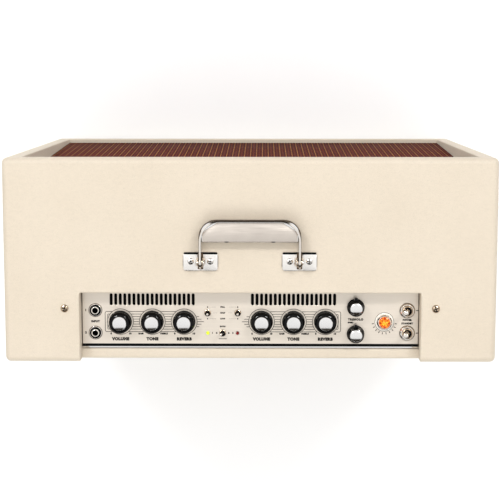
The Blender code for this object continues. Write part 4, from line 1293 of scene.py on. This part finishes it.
def build_jacks():
    """Input jacks: bright washer, black nut, and a metal sleeve round the hole."""
    for name, spot in JACK_SPOT.items():
        low, high = span(name)
        top = high.z - PANEL
        shape = Shape()
        shape.lathe(band(5, 7.0, 0.1, 0.9, 0.3), paint=1, ring=True, steps=56)
        # painted shadow: a dark ring round the washer's edge
        shape.lathe(band(5, 7.6, 0.02, 0.3, 0.1), paint=2, ring=True, steps=56)
        shape.lathe([(4.0, 2.4), (5.9, 2.4, 0.5), (6.5, 0.9, 0.2), (4.0, 0.9)], ring=True, steps=56)
        shape.lathe(
            [(3.2, top), (4.3, top, 0.4), (4.3, 0), (4.6, -2.6), (3.2, -2.6)], paint=1, ring=True,
            steps=48,
        )
        depth = low.z - PANEL
        shape.lathe(
            [
                (3.2, -2.6), (7.2, -2.6, 0.6), (7.2, depth, 0.6), (0, depth), (0, depth + 2),
                (3.2, depth + 2),
            ],
            steps=40,
        )
        make(
            f"{name}_socket", shape, [GLOSS, NICKEL, SHADE_STEEL], place=(spot.x, spot.y, PANEL),
            stands_for=name,
        )


def build_pilot():
    """The pilot lamp's chrome ring, and a jewel with rows of twelve facets."""
    x, y = PILOT_SPOT.xy
    shape = Shape()
    shape.lathe(
        [
            (6.7, 1.3), (6.7, 4.8), (7.0, 4.8, 0.1), (8.3, 3.6, 0.4), (8.5, 2.4, 0.3), (8.5, 0.3),
            (5.8, 0.3), (5.8, -14), (5.2, -14), (5.2, 1.3),
        ],
        ring=True, steps=64,
    )
    make("pilot_chrome", shape, [NICKEL], place=(x, y, PANEL), stands_for="pilot_bezel")
    facets = Shape()
    rows = [(6.4, 1.5, 0), (6.4, 4.4, 0), (5.3, 7.1, 0.5), (3.1, 9.2, 0), (0, 10, 0)]
    rings = []
    sides = 12
    for radius, height, shift in rows:
        places = circle(radius, sides, start=shift * 2 * math.pi / sides) if radius else [(0, 0)]
        rings.append([facets.bm.verts.new((px, py, height)) for px, py in places])
    facets.bm.faces.new(rings[0][::-1])
    for lower, upper, shifted in zip(rings, rings[1:], (0, 1, -1, 0)):
        for i in range(sides):
            j = (i + 1) % sides
            if len(upper) == 1:
                facets.bm.faces.new([lower[i], lower[j], upper[0]])
            elif shifted == 0:
                facets.bm.faces.new([lower[i], lower[j], upper[j], upper[i]])
            elif shifted == 1:
                facets.bm.faces.new([lower[i], lower[j], upper[i]])
                facets.bm.faces.new([lower[j], upper[j], upper[i]])
            else:
                facets.bm.faces.new([lower[i], upper[j], upper[i]])
                facets.bm.faces.new([lower[i], lower[j], upper[j]])
    mesh = facets.mesh("pilot_gem", angle=5)
    # the glow is the lamp's own; brighter yellow top facets are painted highlight and dark red lower facets
    # painted shade
    for index, face in enumerate(mesh.polygons):
        if face.center.z > 9 * MM:
            face.material_index = 1 if index % 3 else 0
        else:
            face.material_index = 0 if index % 3 else 2
    make(
        "pilot_gem", mesh, [AMBER, HONEY, EMBER], place=(x, y, PANEL), stands_for="pilot_jewel",
    )


def build_leds():
    for name, spot in LED_SPOT.items():
        lens = Shape().lathe(band(0, 1.55, -5, 2.2, 1.5), steps=28)
        colour, slot = (GREEN, "green_lens") if name.endswith("1") else (RED, "red_lens")
        make(f"{name}_dome", lens, [colour], place=(spot.x, spot.y, PANEL), stands_for=name)


def build_chassis_screws():
    for side in ("left", "right"):
        name = f"chassis_screw_{side}"
        spot = middle(name)
        # the cross recess is painted black as painted shade
        shape = Shape().stamp(SCREW, at(z=0.3, scale=4.3, turn_z=30 if side == "left" else 65), 0, 1)
        make(
            f"{name}_head", shape, [WARM, SHADOW], place=(spot.x, spot.y, TOP), stands_for=name,
        )


# --- handle ------------------------------------------------------------------------------

HANDLE = pivot("handle_swing")
EYE_X = middle("handle_bracket_left").x
REACH, CORNER, STRAP, STRAP_WIDTH = 45.7, 22.5, 2.2, 13.0
GRIP_BACK = -22.2
HANDLE_TURN = (math.asin((HANDLE.z - TOP - STRAP_WIDTH / 2 - 0.5) / REACH), 0, 0)


def u_outline(half_x, reach, corner, foot):
    return [(half_x, foot), (half_x, -reach, corner), (-half_x, -reach, corner), (-half_x, foot)]


def build_handle_strap():
    """A flat strap bent to a U, with a dark strip round its outer side as painted dark reflection."""
    half = STRAP_WIDTH / 2
    sections = []
    for inset, height in ((0, -half + 0.4), (0.4, -half), (STRAP - 0.4, -half), (STRAP, -half + 0.4),
                          (STRAP, half - 0.3), (STRAP - 0.3, half), (STRAP - 0.5, half), (0, half - 1.25)):
        line = soften(u_outline(EYE_X + STRAP / 2 - inset, REACH - inset, CORNER - inset, 0), steps=14)
        sections.append([(x, y, height) for x, y in line])
    shape = Shape().loft(sections)
    # painted reflection: a dark strip that peeks out as a dark line along the strap
    shade_line = []
    for inset, height in ((-0.4, 0.6 - half), (0.3, 0.6 - half), (0.3, half - 2), (-0.4, half - 2)):
        line = soften(u_outline(EYE_X + STRAP / 2 - inset, REACH - inset, CORNER - inset, -8), steps=14)
        shade_line.append([(x, y, height) for x, y in line])
    shape.loft(shade_line, paint=1)
    for sign in (-1, 1):
        eye = [(2.4, STRAP / 2), (half, STRAP / 2, 0.4), (half, -STRAP / 2, 0.4), (2.4, -STRAP / 2)]
        shape.lathe(eye, matrix=at(sign * EYE_X, 0, 0, turn_y=90), ring=True)
    make(
        "handle_bail", shape, [NICKEL, SHADE_STEEL], body="handle", place=HANDLE, stands_for="handle_frame",
        turn=HANDLE_TURN,
    )


def build_grip():
    """The satin plate inside the strap that the hand lifts by; its brighter aluminium body shows round the
    crown and at its cut corners as painted highlight.
    """
    clear = STRAP + 0.3
    foot = GRIP_BACK
    outline = soften(
        u_outline(EYE_X - clear + STRAP / 2, REACH - clear, CORNER - clear, foot), closed=True,
        steps=10,
    )
    # painted highlight: brighter aluminium that shows round the satin crown
    grip = Shape().prism(outline, -5.2, 3.3, edge=0.7, segments=3, paint=2)
    front = -REACH + clear + 0.3
    half_x = EYE_X - 2.4
    crown = [
        (half_x, foot - 0.5), (half_x, front + 11), (EYE_X - 6.1, front + 7.2), (EYE_X - 17.9, front),
        (-EYE_X + 17.9, front), (-EYE_X + 6.1, front + 7.2), (-half_x, front + 11),
        (-half_x, foot - 0.5),
    ]
    grip.prism(crown, 2.6, 3.6, edge=0.25, segments=2)
    for x in (-25, 25):
        spot = at(x, foot + 0.4, 1.6, turn_x=-90)
        grip.lathe(
            [(0, 0), (1.6, -0.1, 0.4), (1.9, -0.8), (1.9, -2), (0, -2)], paint=1, matrix=spot, steps=24,
        )
        grip.box((x - 2.2, foot - 1.1, 3.3), (x + 2.2, foot + 0.1, 3.62), edge=0.2, paint=1)
    make(
        "handle_grip_plate", grip, [SATIN, BLACK_METAL, CAP], body="handle", place=HANDLE,
        stands_for="handle_grip", turn=HANDLE_TURN,
    )


# Takes X to Y, Y to Z and Z to X
SWAPPED_AXES = Matrix(((0, 0, 1, 0), (1, 0, 0, 0), (0, 1, 0, 0), (0, 0, 0, 1)))


def build_bracket(side, sign):
    """A slotted plate with a thin upturned ear on each side of the handle's leg. Its black front fold and
    lip, dark slot floor and side lines, and black screw recesses are painted shade; its warm ears are
    painted reflection.
    """
    low, high = span(f"handle_bracket_{side}")
    x, y = sign * EYE_X, (low.y + high.y) / 2
    half_x, half_y = (high.x - low.x) / 2, (high.y - low.y) / 2
    base, plate = low.z, 1.6
    rise = HANDLE.z - base
    shape = Shape()
    for flip in (-1, 1):
        front = -half_y + 1.5
        outline = [
            (flip * 2.9, front), (flip * half_x, front), (flip * half_x, half_y, 2.4),
            (flip * 2.9, half_y, 0.6),
        ]
        # the fold is painted black as painted shade along the front edge
        fold = [(-half_y, 0), (-half_y, 0.5), (front + 0.05, plate), (front + 0.05, 0)]
        if flip < 0:
            outline.reverse()
        shape.prism(outline, 0, plate, edge=0.3, segments=2)
        ear = [(-5, 0.4), (5, 0.4), (5, rise + 4.6, 4.8), (-5, rise + 4.6, 4.8)]
        upright = Matrix.Scale(flip, 4, (1, 0, 0)) @ SWAPPED_AXES
        shape.prism(ear, 1.8, 2.7, edge=0.25, paint=2, matrix=upright)
        shape.prism(fold, 2.9, half_x - 0.4, edge=0.1, paint=3, matrix=upright)
        # the screws' cross recesses are painted black as painted shade
        shape.stamp(SCREW, at(flip * 10.6, -0.4, plate - 0.25, scale=3.5, turn_z=20 * flip + 52), 0, 4)
    shape.box((-3.4, 8.2, 0.02), (3.4, half_y - 0.3, plate - 0.05), edge=0.3)
    # painted shade: a dark floor in the slot
    shape.box((-2.9, -half_y + 0.4, 0), (2.9, 8, 0.5), edge=0.1, paint=1)
    # painted shade: a black lip peeking out at the front as a dark line
    lip = [
        (-half_x + 0.8, -half_y - 0.6, 0.4), (half_x - 0.8, -half_y - 0.6, 0.4),
        (half_x - 0.8, -half_y + 1), (-half_x + 0.8, -half_y + 1),
    ]
    shape.prism(lip, 0, 0.45, edge=0.1, paint=3)
    # painted shade: dark lines along the plate's outer sides
    for flip in (-1, 1):
        xs = sorted((flip * (half_x - 0.3), flip * (half_x + 0.4)))
        shape.box((xs[0], 3 - half_y, 0.02), (xs[1], half_y - 4, 0.5), edge=0.1, paint=1)
    place = Vector((x, y, base))
    make(
        f"handle_plate_{side}", shape, [PLATE, SHADE_STEEL, WARM, SHADOW, SHADOW], place=place,
        stands_for=f"handle_bracket_{side}",
    )
    pin = [
        (0, 3.9), (2.5, 3.9, 0.9), (2.5, 2.9, 0.2), (2, 2.9), (2, -2.9), (2.5, -2.9, 0.2),
        (2.5, -3.9, 0.9), (0, -3.9),
    ]
    shape = Shape().lathe(pin, matrix=at(turn_y=90), steps=28)
    node = f"handle_pin_{side}"
    make(f"{node}_rivet", shape, [PLATE], place=(x, y, HANDLE.z), stands_for=node)


# --- speaker -----------------------------------------------------------------------------

SPEAKER_TURN = (-math.pi / 2 - TILT, 0, 0)
CLOTH_TO_REAR = 13.8 - 0.6
SEAT = middle("grille_cloth") + CONE_AXIS * CLOTH_TO_REAR  # the middle of the baffle's rear face


def build_basket():
    """The speaker's pressed frame with six windows, its bolts and its terminals."""
    sheet = [
        (22, 64), (62, 64, 3), (140, 14, 4), (144, 3, 2), (155, 3, 0.8), (155, 0, 0.4), (141, 0, 1),
        (137.5, 12.5, 4), (61, 61.8, 2), (22, 61.8),
    ]
    ring = Shape().lathe(sheet, ring=True, steps=96).mesh("basket", scale=1)
    cutters = []
    for index in range(6):
        near, far = polar(70, 19), polar(126, 19)
        wedge = [(near[0], -near[1], 7), (far[0], -far[1], 10), (*far, 10), (*near, 7)]
        cutters.append(
            Shape().prism(wedge, 4.2, 70, matrix=at(turn_z=30 + 60 * index)).mesh("window", scale=1)
        )
    mesh = carved(ring, cutters)
    mesh.transform(Matrix.Scale(MM, 4))
    smooth(mesh, 40)
    make(
        "basket_pressed", mesh, [BLACK_METAL], place=SEAT, stands_for="speaker_frame",
        turn=SPEAKER_TURN,
    )
    fittings = Shape()
    for index in range(8):
        x, y = polar(149.5, 22.5 + 45 * index)
        fittings.prism(hexagon(8), 3.1, 6.4, edge=0.4, matrix=at(x, y, turn_z=13 * index))
        fittings.lathe(band(0, 2, 3, 8, 0.4), matrix=at(x, y), steps=16)
    fittings.box((-81, -9, 52), (-65, 9, 54.2), edge=0.3, paint=1)
    for y in (-5, 5):
        fittings.box((-84, y - 1.6, 54.2), (-66, y + 1.6, 54.9), edge=0.15, paint=2)
    make("basket_fittings", fittings, [ZINC, FIBRE, BRASS], place=SEAT, turn=SPEAKER_TURN)


def build_magnet():
    magnet = Shape()
    magnet.lathe([(0, 71), (58, 71, 1.5), (58, 64.3, 1), (0, 64.3)], paint=1, steps=64)
    magnet.lathe([(0, 110), (38, 110, 2), (49, 106.5, 3), (52, 100, 4), (52, 71.4, 1), (0, 71.4)], steps=72)
    magnet.lathe([(9, 114), (12, 114, 0.8), (13, 110), (9, 110)], paint=1, ring=True, steps=40)
    magnet.lathe(band(0, 37, 109.5, 111, 0.6), paint=1, steps=64)
    for index in range(4):
        magnet.stamp(SCREW, at(*polar(53.4, 45 + 90 * index), 71, scale=3.2), 1)
    make(
        "magnet_cover", magnet, [BLACK_METAL, ZINC], place=SEAT, stands_for="speaker_magnet",
        turn=SPEAKER_TURN,
    )


def build_cone():
    """Ribbed paper cone with its dust cap, voice coil, edge roll and spider."""
    front = [(136, 4.2), (112, 11.7), (86, 22.2), (60, 35.2), (42, 44.6)]
    rear = [(42, 46.0), (60, 36.4), (86, 23.4), (112, 12.9), (136, 5.4)]
    ribs = []
    for (r1, h1), (r2, h2) in zip(rear, rear[1:]):
        for step in range(6):
            t = step / 6
            wave = 0.35 * math.sin(2 * math.pi * t * 2)
            ribs.append((r1 + (r2 - r1) * t, h1 + (h2 - h1) * t + wave))
    profile = [
        (0, 32.2), (15.5, 34.2, 8), (29, 39.2, 8), (37, 45.6), (18.8, 50.6), (18.8, 60), (20, 60),
        (20, 51.9),
    ]
    profile += [*ribs, rear[-1], *front, (38.5, 43, 1), (30, 38, 6), (16, 33, 8), (0, 31)]
    cone = Shape().lathe(profile, steps=96)
    roll = [
        (134, 5.4), (135.2, 7.2, 0.8), (136.6, 5.6, 0.8), (138, 6.2), (138, 5.4), (136.6, 4.6),
        (134, 4.4),
    ]
    cone.lathe(roll, paint=1, ring=True, steps=96)
    spider = []
    for index in range(17):
        spider.append((20.1 + index * 2.3, 55.6 + 0.9 * math.cos(math.pi * index)))
    back = [(radius, height - 0.5) for radius, height in reversed(spider)]
    cone.lathe(spider + back, paint=2, ring=True, steps=72)
    make(
        "cone_pressed", cone, [CONE, RUBBER, SPIDER], body="cone", place=SEAT,
        stands_for="speaker_cone", turn=SPEAKER_TURN,
    )


# --- chassis and what hangs from it --------------------------------------------------------


def make_tube(name, glass, inside, base):
    """Hangs a tube's envelope and what is in it from the underside of the chassis."""
    spot = middle(name)
    place = (spot.x, spot.y, FLOOR_Z)
    make(
        f"{name}_envelope", glass, [GLASS], place=place, stands_for=name,
        turn=UPSIDE_DOWN,
    )
    make(f"{name}_inside", inside, [base, MICA, PLATE_GREY, GETTER], place=place, turn=UPSIDE_DOWN)


def build_power_tube(name):
    shape = Shape()
    outer = [(0, 82), (5.5, 81.6, 3), (16, 74, 12), (16, 24, 4), (14.4, 18, 2), (14.4, 15.5)]
    inner = [(13.6, 15.5), (13.6, 18, 2), (15.2, 24.4, 4), (15.2, 73.5, 11), (5.2, 80.8, 3), (0, 81.2)]
    shape.lathe(outer + inner, steps=40)
    inside = Shape()
    inside.lathe(
        [(0, 17), (14, 17, 1), (16.4, 15, 1.5), (16.4, 0.4, 0.8), (9.8, 0.4), (9.8, -6), (0, -6)],
        paint=0,
    )
    inside.lathe(band(0, 13.6, 26, 26.6), paint=1)
    inside.lathe(band(0, 13.6, 68, 68.6), paint=1)
    inside.prism(rectangle(-6, -10, 6, 10, 2), 27, 67.6, edge=0.4, paint=2)
    for sign in (-1, 1):
        inside.box((-1.2, sign * 10 - 2.4, 30), (1.2, sign * 10 + 2.4, 65), edge=0.3, paint=2)
        inside.tube([(sign * 8.4, 0, 17), (sign * 8.4, 0, 74)], 0.5, paint=3)
    inside.lathe([(0, 80.4), (5, 80, 3), (13, 75, 4), (12.6, 74.6), (4.8, 79.4, 3), (0, 79.8)], paint=3)
    inside.lathe(band(3.2, 4.2, 75, 76), paint=3, ring=True)
    make_tube(name, shape, inside, GLOSS)


def build_preamp_tube(name):
    shape = Shape()
    outer = [(0, 50), (2.2, 49, 0.8), (3.4, 47, 1), (10.5, 45, 6), (10.5, 1.2)]
    inner = [(9.8, 1.2), (9.8, 44, 5), (3, 46, 1), (0, 47.6)]
    shape.lathe(outer + inner, steps=36)
    inside = Shape()
    inside.lathe([(0, 1), (10.4, 1), (10.4, 0.3), (7.4, 0.3), (7.4, -5), (0, -5)], paint=0)
    for height in (8, 36):
        inside.lathe(band(0, 8.8, height, height + 0.5), paint=1)
    for sign in (-1, 1):
        inside.box((sign * 4 - 2.9, -5, 9), (sign * 4 + 2.9, 5, 35.6), edge=0.8, paint=2)
    inside.lathe([(0, 45.2), (3, 44.6, 1), (8.6, 42.4, 3), (8.2, 42), (0, 44.6)], paint=3)
    for x, y in circle(5.9, 9):
        inside.tube([(x, y, 0.5), (x, y, 8)], 0.45, paint=3, sides=8)
    make_tube(name, shape, inside, WHITE)


def build_sockets():
    """Rings and spring clips that hold the tubes, on the underside of the chassis."""
    shape = Shape()
    for name in POWER_TUBES:
        spot = middle(name)
        place = at(spot.x, spot.y, FLOOR_Z, turn_x=180)
        for sign in (-1, 1):
            arm = [(sign * 19, 0, 0.4), (sign * 18.6, 0, 8), (sign * 17.2, 0, 15), (sign * 17.6, 0, 19)]
            shape.tube(arm, 0.8, matrix=place @ at(turn_z=40))
            shape.stamp(
                SCREW,
                place @ at(sign * 21.5 * math.cos(0.7), sign * 21.5 * math.sin(0.7), 0.1, scale=2.8),
            )
    for name in PREAMP_TUBES:
        spot = middle(name)
        place = at(spot.x, spot.y, FLOOR_Z, turn_x=180)
        shape.lathe(band(11, 11.6, 0.1, 6, 0.3), matrix=place, ring=True)
    make("tube_retainers", shape, [ZINC])


def build_transformer(node, core, bell):
    """Laminated core with covers and four bolts."""
    low, high = span(node)
    centre = (low + high) / 2
    shape = Shape()
    core_low = Vector((low.x, centre.y - core / 2, low.z))
    shape.box(core_low, (high.x, centre.y + core / 2, high.z), edge=0.7, paint=0)
    inset_x, inset_z = bell
    for flip in (-1, 1):
        ys = sorted((centre.y + flip * (core / 2 - 2), low.y if flip < 0 else high.y))
        shape.box(
            (low.x + inset_x, ys[0], low.z + inset_z), (high.x - inset_x, ys[1], high.z - 10),
            edge=min(7, core / 3), segments=5, paint=1,
        )
    for x in (low.x + 5, high.x - 5):
        for z in (low.z + 5, high.z - 5):
            for flip in (-1, 1):
                spot = at(x, centre.y + flip * core / 2, z, turn_x=-90 * flip)
                shape.prism(hexagon(6.4), 0, 2.8, edge=0.4, paint=2, matrix=spot)
    make(f"{node}_stack", shape, [STACK, BLACK_METAL, ZINC], stands_for=node)


def build_reverb_tank():
    low, high = span("reverb_tank")
    shape = Shape().box((low.x + 8, low.y, low.z), (high.x - 8, high.y, high.z), edge=1.8, segments=3)
    shape.box((low.x, low.y + 4, low.z), (high.x, high.y - 4, low.z + 1.2), edge=0.4)
    for x in (-130, -43, 43, 130):
        shape.box((x - 26, low.y + 18, high.z - 0.6), (x + 26, high.y - 18, high.z), edge=0.25)
    for x in (low.x + 4.5, high.x - 4.5):
        for y in (low.y + 22, high.y - 22):
            shape.lathe(band(0, 3.6, 0.1, 2.2, 0.6), paint=1, matrix=at(x, y, low.z + 1.2), steps=24)
            shape.stamp(SCREW, at(x, y, low.z + 3.3, scale=2.6), 2)
    for x in (-150, -128):
        socket = [(2.4, 9), (4.1, 9, 0.5), (4.1, 1.5), (6.5, 1.5, 0.3), (6.5, 0), (2.4, 0)]
        shape.lathe(socket, paint=3, matrix=at(x, high.y, high.z - 13, turn_x=-90), ring=True, steps=28)
        shape.lathe(band(0, 2.6, 0, 1), paint=1, matrix=at(x, high.y, high.z - 13, turn_x=-90), steps=20)
    make("reverb_pan", shape, [ZINC, RUBBER, NICKEL, BRASS], stands_for="reverb_tank")


def build_output():
    """The jack under the chassis that the speaker's lead plugs into."""
    spot = middle("speaker_output_jack")
    jack = Shape()
    jack.lathe(
        [(3.2, 3.4), (4.7, 3.4, 0.3), *threaded(4.7, 2.5, 3.2), (4.6, -2.6), (3.2, -2.6)], paint=1,
        ring=True,
    )
    jack.prism(hexagon(12.1), 0.3, 2.4, edge=0.3, paint=1)
    jack.lathe([(3.2, -2.6), (7.2, -2.6, 0.6), (7.2, -24, 0.6), (0, -24), (0, -22), (3.2, -22)])
    make(
        "speaker_jack_socket", jack, [GLOSS, NICKEL], place=(spot.x, spot.y, FLOOR_Z),
        stands_for="speaker_output_jack", turn=UPSIDE_DOWN,
    )


def build_mains_inlet():
    spot = middle("mains_inlet")
    shape = Shape()
    for x, y in ((0, 2.6), (-7, -2.2), (7, -2.2)):
        shape.box(
            (x - 0.9, y - 2.2, 0.5), (x + 0.9, y + 2.2, 14), edge=0.3,
            matrix=at(spot.x, spot.y, FLOOR_Z),
        )
    for sign in (-1, 1):
        shape.stamp(SCREW, at(spot.x + sign * 14.8, spot.y, FLOOR_Z - 2.6, turn_x=180, scale=1.7))
    make("mains_pins", shape, [NICKEL])


def build_chassis_details():
    """Screws through the ears and the tray's folded edges, and a bar of spot welds."""
    shape = Shape()
    low, high = span("chassis_tray")
    for sign in (-1, 1):
        for y in (44, 68):
            shape.stamp(SCREW, at(sign * 206, y, high.z - 1.6, turn_x=180, scale=3))
    for index in range(9):
        x = -168 + 42 * index
        shape.lathe(
            [(0, 0.25), (2.2, 0.15, 0.1), (2.4, 0), (0, 0)], matrix=at(x, 28, low.z, turn_x=180),
            steps=20,
        )
    make("chassis_screws", shape, [ZINC])


def paint_node(name, paint):
    """Gives a carried-over CAD node a finished material."""
    mesh = frame["nodes"][name].data
    mesh.materials.clear()
    mesh.materials.append(paint)


# --- the whole object ----------------------------------------------------------------------

SCENE.view_settings.view_transform = "Standard"
set_camera()
set_world()
set_floor()
for side, x in (("left", 1.1), ("right", -1.1)):
    add_light(f"key_{side}", (x, -1.2, 1.9), (0, 0, 0.4), (0.45, 0.25), 11, mirrored=False)
    add_light(f"glint_{side}", (x, -1.2, 1.9), (0, 0, 0.4), (0.5, 0.4), 70, lights=False)
add_light("rear_fill", (0.2, 1.6, 2.0), (0, 0, 0.4), (1.6, 0.9), 12, mirrored=False)

build_cabinet()
build_back_panels()
build_feet()
build_cleats()
build_grille()
build_panel()
build_panel_surround()
build_print()
build_lettering()
build_knobs()
build_switches()
build_control_board()
build_jacks()
build_pilot()
build_leds()
build_chassis_screws()
build_handle_strap()
build_grip()
build_bracket("left", 1)
build_bracket("right", -1)
build_basket()
build_magnet()
build_cone()
for tube in POWER_TUBES:
    build_power_tube(tube)
for tube in PREAMP_TUBES:
    build_preamp_tube(tube)
build_sockets()
build_transformer("power_transformer", 34, (9, 10))
build_transformer("output_transformer", 22, (10, 9))
build_reverb_tank()
build_output()
build_mains_inlet()
build_chassis_details()
for node, paint in {
    "speaker_baffle": BLACK_PLY,
    "chassis_tray": ZINC,
    "main_board": CIRCUIT,
    "mains_inlet": GLOSS,
}.items():
    paint_node(node, paint)
